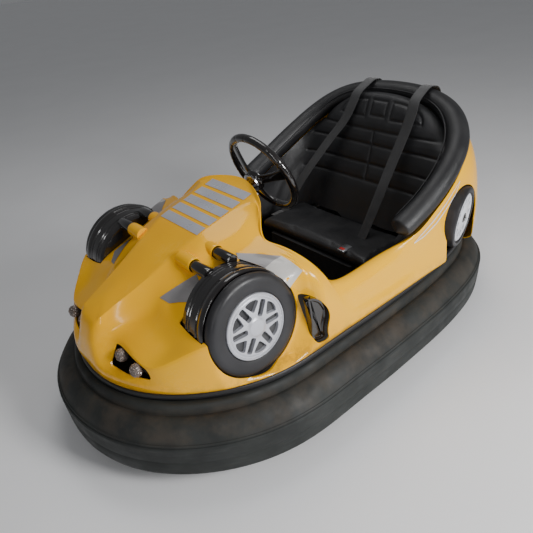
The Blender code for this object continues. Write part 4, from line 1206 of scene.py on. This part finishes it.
# %% Rear tyres and hubcaps
R = REAR_RADIUS
rear_profile = [
    (0, -.062), (R - .006, -.060), (R - .003, -.056), (R - .0025, -.010), (R - .0035, .0040),
    (R - .0060, .0095), (R - .0110, .0125), (R - .0170, .0132), (R - .0220, .0122), (R - .0255, .0085),
    (R - .0272, .0030), (R - .0275, -.0080), (0, -.0080)]
disc_profile = [
    (0, -.0060), (R - .0290, -.0060), (R - .0285, .0020), (R - .0300, .0068), (R - .0340, .0096),
    (R - .0400, .0100), (R - .0440, .0080), (.0480, .0075), (.0420, .0100), (.0300, .0112),
    (.0220, .0112), (0, .0112)]
bush_profile = [
    (.0115, .0020), (.0190, .0020), (.0190, .0125), (.0175, .0140), (.0135, .0140), (.0118, .0120),
    (.0115, .0100), (.0115, .0020)]
OVALS, OVAL_AT, OVAL_LONG, OVAL_WIDE = 12, .069, .0135, .0095
oval = [(OVAL_AT + OVAL_LONG * math.cos(t * math.pi / 8), OVAL_WIDE * math.sin(t * math.pi / 8))
        for t in range(16)]
for side, sign in SIDES:
    hub, axis = on_side(REAR_HUB, sign), rear_axis(sign)
    tyre = turned("dummy_tyre_rear_" + side, rear_profile, hub, axis, 96)
    dress(soften(tyre, 30), tyre_face)
    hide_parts("rear_tyre_" + side)
    disc = turned("rear_wheel_trim_" + side, disc_profile, sides=96)
    knives = [plate("knife", ray(oval, k * math.pi / 6), lying, -.02, .03) for k in range(OVALS)]
    knives.append(rod("knife", .0125, (0, 0, -.02), (0, 0, .03), 32, 0))
    cut(disc, *knives)
    disc.data.transform(Matrix.Translation(hub) @ facing(axis))
    dress(soften(disc, 30), white)
    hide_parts("rear_hubcap_" + side)
    collar = turned("rear_wheel_bush_" + side, bush_profile, hub, axis, 48)
    dress(collar, gloss)
print("rear wheels made")

# %% [markdown]
# ## Lamps and vents
# Two knobbly cut-glass lamps sit in each lamp recess, and a glossy vent with a wavy outline fills
# the opening behind each front wheel. The glass is a sphere primitive whose points are
# moved in and out by two crossing waves, which gives rows of small facets.

# %% Lamps
LAMPS = {"inner": (.140, .4165), "outer": (.233, .4090)}
LAMP_Y, LAMP_R = -0.808, 0.0225
KNOB_FOOT, KNOB_RISE = 0.88, 0.15    # shares of the lamp's radius
KNOBS_ROUND, KNOBS_UP = 7, 3.5
for side, sign in SIDES:
    for spot, (x, z) in LAMPS.items():
        bpy.ops.mesh.primitive_uv_sphere_add(segments=64, ring_count=40, radius=LAMP_R)
        lamp = call(bpy.context.object, "lamp_glass_%s_%s" % (spot, side))
        for vertex in lamp.data.vertices:
            way = vertex.co.normalized()
            round_it, up_it = math.atan2(way.y, way.x), math.asin(max(-1, min(1, way.z)))
            one_way = KNOBS_ROUND * round_it + KNOBS_UP * up_it
            other_way = KNOBS_ROUND * round_it - KNOBS_UP * up_it + 1.5708
            knob = abs(math.sin(one_way)) * abs(math.sin(other_way))
            vertex.co = way * (LAMP_R * (KNOB_FOOT + KNOB_RISE * knob * math.cos(up_it) ** 0.5))
        lamp.data.transform(Matrix.Translation((sign * x, LAMP_Y, z)) @ facing((0, -1, 0)))
        dress(soften(lamp, 50), lens)
        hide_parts("lamp_%s_%s" % (spot, side))
print("lamp:", len(lamp.data.polygons), "faces")


# %% Lamp trays and vents
def framed_plate(name, outline, place, front, back, rim, depth):
    """Plate with a raised rim: the outline's face is inset and pushed in."""
    obj = plate(name, outline, place, back, front)
    toward = (place(*outline[0], front) - place(*outline[0], back)).normalized()
    edit(obj)
    bpy.ops.mesh.select_mode(type="FACE")
    bpy.ops.mesh.select_all(action="DESELECT")
    leave()
    face = max(obj.data.polygons, key=lambda f: f.normal.dot(toward) * f.area)
    face.select = True
    bpy.ops.object.mode_set(mode="EDIT")
    bpy.ops.mesh.inset(thickness=rim, depth=0)
    bpy.ops.mesh.inset(thickness=rim * 0.5, depth=-depth)
    leave()
    apply_all(bevel_edges(obj, 0.0012))
    return soften(obj, 35)


FITTED = .0008      # gap between a plate and its opening
for side, sign in SIDES:
    tray = framed_plate(
        "lamp_tray_" + side, rounded(inner_outline(LAMP_OPENING, FITTED), LAMP_ROUND),
        seen_from_front(sign), front=-.784, back=-.768, rim=.004, depth=.004)
    dress(tray, gloss)
    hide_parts("lamp_housing_" + side)
    vent = framed_plate(
        "vent_panel_" + side, rounded(inner_outline(VENT_OUTLINE, FITTED), VENT_ROUND),
        seen_from_side(sign), front=.4765, back=.452, rim=.007, depth=.005)
    dress(vent, gloss)
    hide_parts("side_vent_" + side)
print("trays and vents made")

# %% [markdown]
# ## Seat tub
# The tub is one black moulding under the padded rim: a nearly flat back panel, rounded flanks and
# sides that drop beside the cushion. It is made like the body, as a smooth skin over rows of
# points, and its upholstery is then swelled between the seams.

# %% Rows of the tub
def tub_top(place, angle=133):
    return beside_pad(place, angle, .0045)


TUB_ROWS = [
    [tub_top(0.2), (.411, .175, .480), (.408, .175, .440), (.402, .175, .400), (.396, .175, .360),
     (.392, .175, .300)],
    [tub_top(0.7), (.411, .290, .530), (.409, .290, .480), (.402, .290, .430), (.394, .290, .370),
     (.386, .290, .300)],
    [tub_top(1.5), (.401, .388, .580), (.394, .384, .530), (.382, .380, .470), (.370, .372, .400),
     (.362, .360, .320)],
    [tub_top(2.6), (.374, .488, .645), (.360, .474, .590), (.343, .450, .520), (.325, .422, .440),
     (.312, .398, .350)],
    [tub_top(3.8), (.320, .555, .728), (.302, .522, .670), (.286, .490, .590), (.272, .455, .500),
     (.260, .408, .392)],
    [tub_top(4.4, 138), (.284, .583, .782), (.262, .549, .727), (.245, .510, .630), (.230, .466, .522),
     (.219, .407, .392)],
    [tub_top(5.0, 145), (.238, .603, .822), (.215, .566, .780), (.200, .524, .670), (.186, .478, .550),
     (.176, .405, .392)],
    [tub_top(5.7, 155), (.184, .611, .856), (.166, .572, .812), (.152, .527, .688), (.140, .480, .552),
     (.131, .405, .392)],
    [(.119, *tub_top(6.6, 165)[1:]), (.108, .617, .882), (.098, .578, .841), (.090, .530, .700),
     (.082, .480, .552), (.077, .405, .392)],
    [(0, *tub_top(7.5, 172)[1:]), (0, .620, .890), (0, .580, .850), (0, .532, .705), (0, .481, .552),
     (0, .405, .392)],
]
print(len(TUB_ROWS), "rows of", len(TUB_ROWS[0]), "points")

# %% Tub with pressed seams
tub = smooth_skin("bucket_seat", TUB_ROWS, {}, 5)
face_outwards(tub)
middle_face = min(tub.data.polygons, key=lambda f: (f.center - Vector((0, .532, .705))).length)
if middle_face.normal.y > 0:
    flip_faces(tub)

SEAM_LEVELS = (0.750, 0.692, 0.615, 0.548)
SEAM_REACH = 0.355
SEAM_WIDTH, SEAM_DEPTH = 0.0055, 0.0042
SWELL_WIDTH, SWELL_HEIGHT = 0.022, 0.0030
BACK_FROM, BACK_FADE = .42, .05      # the back panel starts here and its seams fade in
FAN_FOOT, FAN_WIDE, FAN_HIGH, FAN_STEPS = (.068, .800), .150, .066, 8


def to_segment(x, z, a, b):
    """Distance of the (x, z) points from a straight piece."""
    ax, az, bx, bz = a[0], a[1], b[0], b[1]
    length = (bx - ax) ** 2 + (bz - az) ** 2
    t = np.clip(((x - ax) * (bx - ax) + (z - az) * (bz - az)) / length, 0, 1)
    return np.hypot(x - ax - t * (bx - ax), z - az - t * (bz - az))


def fan(sign):
    """Quarter-fan outline above the square, between it and the flank."""
    x, z = FAN_FOOT
    quarter = [k * math.pi / 2 / FAN_STEPS for k in range(FAN_STEPS + 1)]
    arc = [(sign * (x + FAN_WIDE * math.sin(t)), z + FAN_HIGH * math.cos(t)) for t in quarter]
    return [(sign * x, z), *arc, (sign * x, z)]


seams = [((-SEAM_REACH, z), (SEAM_REACH, z)) for z in SEAM_LEVELS]
seams.append(((0, SEAM_LEVELS[0]), (0, SEAM_LEVELS[-1])))
square = [(-.040, .807), (.040, .807), (.040, .866), (-.040, .866), (-.040, .807)]
for line in (square, fan(1), fan(-1)):
    seams += list(zip(line, line[1:]))
places = places_of(tub)
normals = np.array([v.normal for v in tub.data.vertices])
distance = np.full(len(places), np.inf)
for a, b in seams:
    distance = np.minimum(distance, to_segment(places[:, 0], places[:, 2], a, b))
on_back = np.clip((places[:, 1] - BACK_FROM) / BACK_FADE, 0, 1)
groove = np.exp(-(distance / SEAM_WIDTH) ** 2)
swell = 1 - np.exp(-(distance / SWELL_WIDTH) ** 2)
places += normals * (on_back * (swell * SWELL_HEIGHT - groove * SEAM_DEPTH))[:, None]
move_points(tub, places)
dress(soften(tub, 60), leather)
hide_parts("seat_tub")
print("tub:", len(tub.data.polygons), "faces, seams", len(seams))

# %% [markdown]
# ## Padded rim
# The rim is a foam roll under leatherette, with a welt along its inner edge. It starts as a tube
# a little too thin, is remeshed evenly and blown up by cloth pressure, which tightens the skin and
# leaves slight wrinkles in the bends. The welt is added afterwards, as remeshing would erase it.

# %% Cloth pressure
def inflate(obj, voxel, limit, pressure=4.0, frames=20):
    """Even mesh, blown up by cloth pressure. No point moves further than the limit."""
    alone(obj)
    obj.data.remesh_voxel_size = voxel
    bpy.ops.object.voxel_remesh()
    start = places_of(obj)
    cloth = obj.modifiers.new("stuffing", "CLOTH")
    cloth.settings.use_pressure = True
    cloth.settings.uniform_pressure_force = pressure
    cloth.settings.effector_weights.gravity = 0
    cloth.settings.quality = 4
    scene = bpy.context.scene
    for moment in range(1, frames + 1):
        scene.frame_set(moment)
    apply_all(obj)
    scene.frame_set(1)
    moved = places_of(obj) - start
    reach = np.linalg.norm(moved, axis=1, keepdims=True)
    move_points(obj, start + moved * np.minimum(1, limit / np.maximum(reach, 1e-9)))
    print(obj.name, "swelled by up to", round(float(reach.max()) * 1000, 1), "mm")
    rounder = obj.modifiers.new("round", "SUBSURF")
    rounder.levels = rounder.render_levels = 1
    apply_all(obj)
    obj.data.update()
    return obj


# %% Rim pad
ROLL_WIDE, ROLL_HIGH, ROLL_INWARD = 0.045, 0.038, 0.003
ROLL_STEPS, END_LENGTH, END_SIZE = 150, 0.16, 0.02
rows = []
for i in range(ROLL_STEPS + 1):
    place = PAD_END * i / ROLL_STEPS
    out, below, _ = pad_axes(place)
    end_gap = min(place, PAD_END - place) / END_LENGTH
    shrink = math.sqrt(max(0.0, 1 - (1 - min(1, end_gap)) ** 2)) * (1 - END_SIZE) + END_SIZE
    here = pad_line(place) - out * ROLL_INWARD
    rows.append([tuple(here + out * math.cos(t) * ROLL_WIDE * shrink
                       + below * math.sin(t) * ROLL_HIGH * shrink)
                 for t in angles_round(24)])
roll = grid_skin("padded_rim", rows, wrap=True)
close_ends(roll)
inflate(roll, 0.006, 0.006)
dress(soften(roll, 60), leather)
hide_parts("rim_pad")


def tube_along(name, points, radius, around=10):
    """Thin closed tube along points, with its ends drawn in."""
    points = [Vector(p) for p in points]
    rows = []
    side = None
    for i, here in enumerate(points):
        along = (points[min(i + 1, len(points) - 1)] - points[max(i - 1, 0)]).normalized()
        side = (side if side is not None else along.orthogonal())
        side = (side - along * side.dot(along)).normalized()
        other = along.cross(side)
        r = radius if 0 < i < len(points) - 1 else radius * 0.35
        rows.append([tuple(here + (side * math.cos(t) + other * math.sin(t)) * r)
                     for t in angles_round(around)])
    obj = grid_skin(name, rows, wrap=True)
    close_ends(obj)
    return soften(obj, 60)


def on_roll(place, angle, proud):
    out, below, _ = pad_axes(place)
    t = math.radians(angle)
    return (pad_line(place) - out * ROLL_INWARD + out * math.cos(t) * (ROLL_WIDE + proud)
            + below * math.sin(t) * (ROLL_HIGH + proud))


WELT_STEPS, WELT_FROM, WELT_ANGLE, WELT_RADIUS = 140, 0.25, 200, .0032
welt = tube_along("rim_welt", [
    on_roll(WELT_FROM + (PAD_END - 2 * WELT_FROM) * i / WELT_STEPS, WELT_ANGLE, .0045)
    for i in range(WELT_STEPS + 1)], WELT_RADIUS)
dress(welt, leather)
print("padded rim:", len(roll.data.polygons), "faces")

# %% [markdown]
# ## Cushion
# The seat cushion is a flat crowned pad. A cube primitive is bevelled and subdivided, its sides
# are drawn in between the corners, and cloth pressure crowns it.

# %% Seat cushion
bpy.ops.mesh.primitive_cube_add(size=1)
cushion = call(bpy.context.object, "crowned_cushion")
cushion.scale = (.630, .270, .034)
settle(cushion)
apply_all(bevel_edges(cushion, 0.015, 4))
subdivide(cushion, 6)
for vertex in cushion.data.vertices:
    x, y, z = vertex.co
    draw_in = 1 - 0.030 * math.cos(math.pi * min(1, abs(x) / .315) / 2) ** 2 * (abs(y) / .135)
    crown = (0.010 * math.cos(math.pi * min(1, abs(x) / .330) / 2)
             * math.cos(math.pi * min(1, abs(y) / .150) / 2))
    vertex.co = (x, y * draw_in, z + (crown if z > 0 else 0))
cushion.data.transform(Matrix.Translation((0, 0.262, 0.3755)))
inflate(cushion, 0.006, 0.010)
for vertex in cushion.data.vertices:
    vertex.co.z = max(vertex.co.z, .3562)
cushion.data.update()
dress(soften(cushion, 60), leather)
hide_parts("seat_cushion")
print("cushion:", [round(v, 3) for v in cushion.dimensions])

# %% [markdown]
# ## Shoulder belts
# Two flat webbing straps come over the rim, down the seat back and onto the cushion. They are
# modelled directly as a thin strip along a smooth line, with a stitched edge from a slight
# thickening, and a UV map that carries the weave.

# %% Lines of the belts
BELT_PATHS = {
    "left": [(.151, .774, .8310), (.151, .768, .8500), (.151, .7640, .8760), (.151, .7560, .8990),
             (.151, .739, .9150), (.150, .715, .9210), (.150, .690, .9210), (.158, .650, .9120),
             (.172, .590, .8880), (.177, .562, .8420), (.170, .530, .7700), (.160, .464, .6560),
             (.169, .355, .5180), (.177, .262, .4110), (.179, .235, .4030), (.180, .190, .4000)],
    "right": [(-.152, .774, .8310), (-.152, .768, .8500), (-.152, .7640, .8760), (-.151, .7560, .8990),
              (-.150, .739, .9150), (-.148, .715, .9210), (-.144, .690, .9210), (-.137, .650, .9120),
              (-.133, .590, .8880), (-.139, .562, .8420), (-.164, .530, .7700), (-.212, .470, .6800),
              (-.268, .350, .5280), (-.288, .262, .4110), (-.290, .235, .4030), (-.292, .190, .4000)],
}


def smooth_line(points, per_span=6):
    """Points on a Catmull-Rom curve through the given ones."""
    p = [Vector(v) for v in points]
    p = [p[0] * 2 - p[1]] + p + [p[-1] * 2 - p[-2]]
    line = []
    for i in range(1, len(p) - 2):
        for s in range(per_span):
            t = s / per_span
            line.append(0.5 * ((2 * p[i]) + (p[i + 1] - p[i - 1]) * t
                               + (2 * p[i - 1] - 5 * p[i] + 4 * p[i + 1] - p[i + 2]) * t * t
                               + (3 * p[i] - p[i - 1] - 3 * p[i + 1] + p[i + 2]) * t ** 3))
    return line + [p[-2]]


print("belt lines of", len(BELT_PATHS["left"]), "points")

# %% Webbing straps
BELT_WIDTH, BELT_THICK = 0.048, 0.0024
BELT_LIFT, EDGE_LIFT, EDGE_FROM = 0.0022, 0.0007, 0.8
TAPER_FROM, TAPER_OVER, TAPER = 72, 10, 0.2      # in points along the belt
ACROSS = Vector((1, 0, 0))
for side, points in BELT_PATHS.items():
    line = smooth_line(points)
    rows, run, runs = [], 0.0, []
    for i, here in enumerate(line):
        along = (line[min(i + 1, len(line) - 1)] - line[max(i - 1, 0)]).normalized()
        face = ACROSS.cross(along).normalized()
        if i:
            run += (here - line[i - 1]).length
        runs.append(run)
        half = BELT_WIDTH / 2 * (1 - TAPER * min(1, max(0, (i - TAPER_FROM) / TAPER_OVER)))
        rows.append([tuple(here + ACROSS * half * s
                           + face * (BELT_LIFT + EDGE_LIFT * (abs(s) > EDGE_FROM)))
                     for s in (-1, -.92, -.8, -.5, 0, .5, .8, .92, 1)])
    strap = grid_skin("webbing_strap_" + side, rows)
    uvs = strap.data.uv_layers
    layer = uvs[0] if uvs else uvs.new(name="UVMap")
    across = len(rows[0])
    for loop in strap.data.loops:
        i, j = divmod(loop.vertex_index, across)
        layer.data[loop.index].uv = ((j / (across - 1)), runs[i])
    thick = strap.modifiers.new("thickness", "SOLIDIFY")
    thick.thickness, thick.offset = BELT_THICK, 0
    apply_all(strap)
    face_outwards(strap)
    dress(soften(strap, 50), webbing)
    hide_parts("shoulder_belt_" + side)
print("straps", round(run, 2), "m long")

# %% Buckle
buckle = block("buckle_body", (.036, .055, .010), (.180, .161, .4030), .003)
dress(buckle, buckle_steel)
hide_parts("belt_buckle")
button = block("buckle_button", (.022, .014, .005), (.180, .146, .4085), .0018)
dress(button, red_button)
tongue = block("buckle_tongue", (.030, .022, .0028), (.180, .196, .4035), .001)
dress(tongue, buckle_steel)
print("buckle made")

# %% [markdown]
# ## Steering wheel
# The wheel is a glossy black moulding: a thick round rim in segments, three broad dished spokes
# and a chrome oval plate with screws in the middle. The rim is a torus primitive, thinned
# slightly where its segments meet. It turns with the column.

# %% Wheel frame and rim
WHEEL_AT, WHEEL_RADIUS, WHEEL_GRIP, WHEEL_DISH = Vector((0, -.067, .757)), .170, .015, .042
tilt = math.radians(22)
STEER_AXIS = Vector((0, math.cos(tilt), math.sin(tilt)))
wheel_frame = Matrix.Translation(WHEEL_AT) @ facing(STEER_AXIS)
bpy.ops.mesh.primitive_torus_add(major_radius=WHEEL_RADIUS - WHEEL_GRIP, minor_radius=WHEEL_GRIP,
                                 major_segments=240, minor_segments=28)
rim = call(bpy.context.object, "wheel_rim")
for vertex in rim.data.vertices:
    angle = math.atan2(vertex.co.y, vertex.co.x)
    middle = Vector((math.cos(angle), math.sin(angle), 0)) * (WHEEL_RADIUS - WHEEL_GRIP)
    joint = math.exp(-((math.degrees(angle) % 20 - 10) / 0.9) ** 2)
    vertex.co = middle + (vertex.co - middle) * (1 - 0.085 * joint)

# %% Spokes and hub
RIM_MIDDLE = WHEEL_RADIUS - WHEEL_GRIP
SPOKE_STEPS, SPOKE_FROM, SPOKE_HALF_THICK = 24, .018, .0062
for degrees in (166, 46, 286):
    rows = []
    for i in range(SPOKE_STEPS + 1):
        t = i / SPOKE_STEPS
        r = SPOKE_FROM + (RIM_MIDDLE - SPOKE_FROM) * t
        height = -WHEEL_DISH * (1 - t ** 1.3) - .001
        wide = .0215 - .0045 * math.sin(math.pi * t) + .004 * t ** 4
        rows.append([(r, wide * math.copysign(abs(c) ** 0.6, c),
                      height + SPOKE_HALF_THICK * math.copysign(abs(s) ** 0.7, s))
                     for c, s in [(math.cos(a), math.sin(a)) for a in angles_round(20)]])
    spoke = grid_skin("spoke", rows, wrap=True)
    close_ends(spoke)
    spoke.data.transform(Matrix.Rotation(math.radians(degrees), 4, "Z"))
    cut(rim, spoke, operation="UNION")
boss = turned("boss", [(0, -.056), (.034, -.056), (.040, -.048), (.041, -.040), (.037, -.034),
                       (.030, -.032), (0, -.032)])
cut(rim, boss, operation="UNION")
rim.data.transform(wheel_frame)
dress(soften(rim, 40), gloss, "steering")
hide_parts("steering_wheel")
hub_plate = turned("wheel_hub_plate", [
    (0, -.033), (.0270, -.033), (.0285, -.0315), (.0285, -.0285), (.0270, -.0270),
    (.0120, -.0262), (.0105, -.0240), (0, -.0235)])
hub_plate.data.transform(Matrix.Diagonal((1.28, 0.86, 1, 1)))
PLATE_TURN, SCREW_AT = 16, .0235
hub_plate.data.transform(wheel_frame @ Matrix.Rotation(math.radians(PLATE_TURN), 4, "Z"))
dress(soften(hub_plate, 30), chrome, "steering")
for k, angle in enumerate((PLATE_TURN, PLATE_TURN + 180)):
    screw = turned("hub_screw_%d" % k, [
        (0, -.0275), (.0042, -.0275), (.0042, -.0250), (.0034, -.0240), (.0010, -.0238),
        (.0008, -.0246), (0, -.0246)], sides=24)
    a = math.radians(angle)
    screw.data.transform(
        wheel_frame @ Matrix.Translation((SCREW_AT * math.cos(a), SCREW_AT * math.sin(a), 0)))
    dress(screw, buckle_steel, "steering")
print("steering wheel:", len(rim.data.polygons), "faces")

# %% [markdown]
# ## Rods beside the column
# A dark conduit and a thin bright control rod run beside the column under the cowl.

# %% Conduit and rod
down = -STEER_AXIS
start = WHEEL_AT + down * .085
RODS = (("column_conduit", .036, .011, dark_grey), ("control_rod", .058, .004, silver))
for name, across, radius, finish in RODS:
    top = start + Vector((across, 0, -.010))
    dress(rod(name, radius, top, top + down * .250, 32), finish)
print("rods made")

# %% [markdown]
# ## Stripes and graphics
# Thin films decorate the body: pale bars across the nose, grey shapes in the dish before each
# wheel and two converging lines on each rear flank. Each film is a fine grid whose points are
# dropped onto the skin, a fraction of a millimetre proud of it.

# %% Films on the shell
FILM_LIFT = 0.0014


def lay(name, first, second, finish, along=40, across=12, from_above=False):
    """Film between two lines of points, laid on the shell."""
    def spread(points, count):
        p = [Vector(v) for v in points]
        lengths = [0.0]
        for a, b in zip(p, p[1:]):
            lengths.append(lengths[-1] + (b - a).length)
        result = []
        for i in range(count + 1):
            at = lengths[-1] * i / count
            k = max(0, min(len(p) - 2, int(np.searchsorted(lengths, at, "right")) - 1))
            t = (at - lengths[k]) / max(1e-9, lengths[k + 1] - lengths[k])
            result.append(p[k].lerp(p[k + 1], t))
        return result
    one, two = spread(first, along), spread(second, along)
    rows = [[tuple(a.lerp(b, j / across)) for j in range(across + 1)] for a, b in zip(one, two)]
    for row in rows:
        for j, point in enumerate(row):
            if from_above:
                spot = outer_skin.ray_cast(Vector(point), Vector((0, 0, -1)))
            else:
                spot = outer_skin.find_nearest(Vector(point))
            if spot[0] is not None:
                normal = spot[1] if spot[1].z > -0.2 else -spot[1]
                row[j] = tuple(spot[0] + normal * FILM_LIFT)
    film = grid_skin(name, rows)
    dress(soften(film, 60), finish)
    return film


# %% Bars across the nose
BAR, PITCH, FIRST, HALF, ABOVE = 0.0365, 0.0501, -0.4530, 0.1165, .80
for k in range(5):
    front, rear = FIRST + PITCH * k, FIRST + PITCH * k + BAR
    lay("nose_bar_%d" % k, [(-HALF, front, ABOVE), (HALF, front, ABOVE)],
        [(-HALF, rear, ABOVE), (HALF, rear, ABOVE)], silver, 48, 10, from_above=True)
print("five bars")

# %% Shapes before the wheels and lines on the flanks
FLANK_LINES = (
    ((.474, .212, .5065), (.476, .2475, .5243), (.475, .319, .553), (.473, .389, .590),
     (.466, .452, .626), (.458, .500, .647)),
    ((.474, .212, .5065), (.475, .269, .512), (.475, .341, .5375), (.473, .4065, .5765),
     (.467, .463, .609), (.458, .500, .647)))
for side, sign in SIDES:
    def at(x, y, z, s=sign):
        return (s * x, y, z)

    lay("dish_film_" + side, [at(.160, -.648, .561), at(.199, -.556, .604), at(.209, -.532, .615)],
        [at(.201, -.640, .554), at(.225, -.619, .559), at(.250, -.600, .560), at(.245, -.545, .590)],
        grey_film, 36, 20)
    lay("ramp_film_" + side, [at(.238, -.393, .642), at(.354, -.302, .633)],
        [at(.260, -.402, .632), at(.355, -.371, .620)], grey_film, 36, 20)
    lay("fold_film_" + side, [at(.354, -.302, .633), at(.430, -.283, .600)],
        [at(.355, -.371, .620), at(.422, -.334, .558)], light_film, 40, 30)
    for k, line in enumerate(FLANK_LINES):
        low, high = [], []
        for i, (x, y, z) in enumerate(line):
            half = .0011 + .0016 * math.sin(math.pi * min(1, i / 5 * 1.1 + .05))
            low.append(at(x, y + half * .55, z - half))
            high.append(at(x, y - half * .55, z + half))
        lay("flank_line_%d_%s" % (k, side), low, high, white, 80, 3)
print("films laid")

# %% [markdown]
# ## Chassis and running gear
# The measured chassis, brackets and running wheels keep their shapes. They are bare facets, so
# each gets its doubles merged and its edges bevelled by modifiers, and a finish of its own.

# %% Finishes on the measured pieces
KEPT = {
    "accelerator_pedal": cast, "axle_bracket_left": frame_paint, "axle_bracket_right": frame_paint,
    "battery": dark_grey, "bumper_rail": frame_paint, "chassis_frame": frame_paint,
    "drive_fork": frame_paint, "drive_hub": cast, "drive_motor": cast, "drive_tyre": wheel_rubber,
    "drive_well": frame_paint, "floor_pan": frame_paint, "rear_wheel_left": wheel_rubber,
    "rear_wheel_right": wheel_rubber, "seat_base": leather, "steering_column": chrome,
    "steering_head": cast,
}
for name, look in KEPT.items():
    piece = nodes[name]
    piece.data.materials.clear()
    piece.data.materials.append(look)
    for face in piece.data.polygons:
        face.material_index = 0
    weld = piece.modifiers.new("weld", "WELD")
    weld.merge_threshold = 0.00002
    bevel_edges(piece, 0.0012, above=40)
print(len(KEPT), "measured pieces finished")

# %% [markdown]
# ## Box of the finished car
# The finished car has to fill the same box as the measured one. Both boxes are printed.

# %% Print both boxes
new_low, new_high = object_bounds()
for axis, a, b, c, d in zip("xyz", cad_low, cad_high, new_low, new_high):
    print(axis, "measured", round(a, 4), round(b, 4), "finished", round(c, 4), round(d, 4))
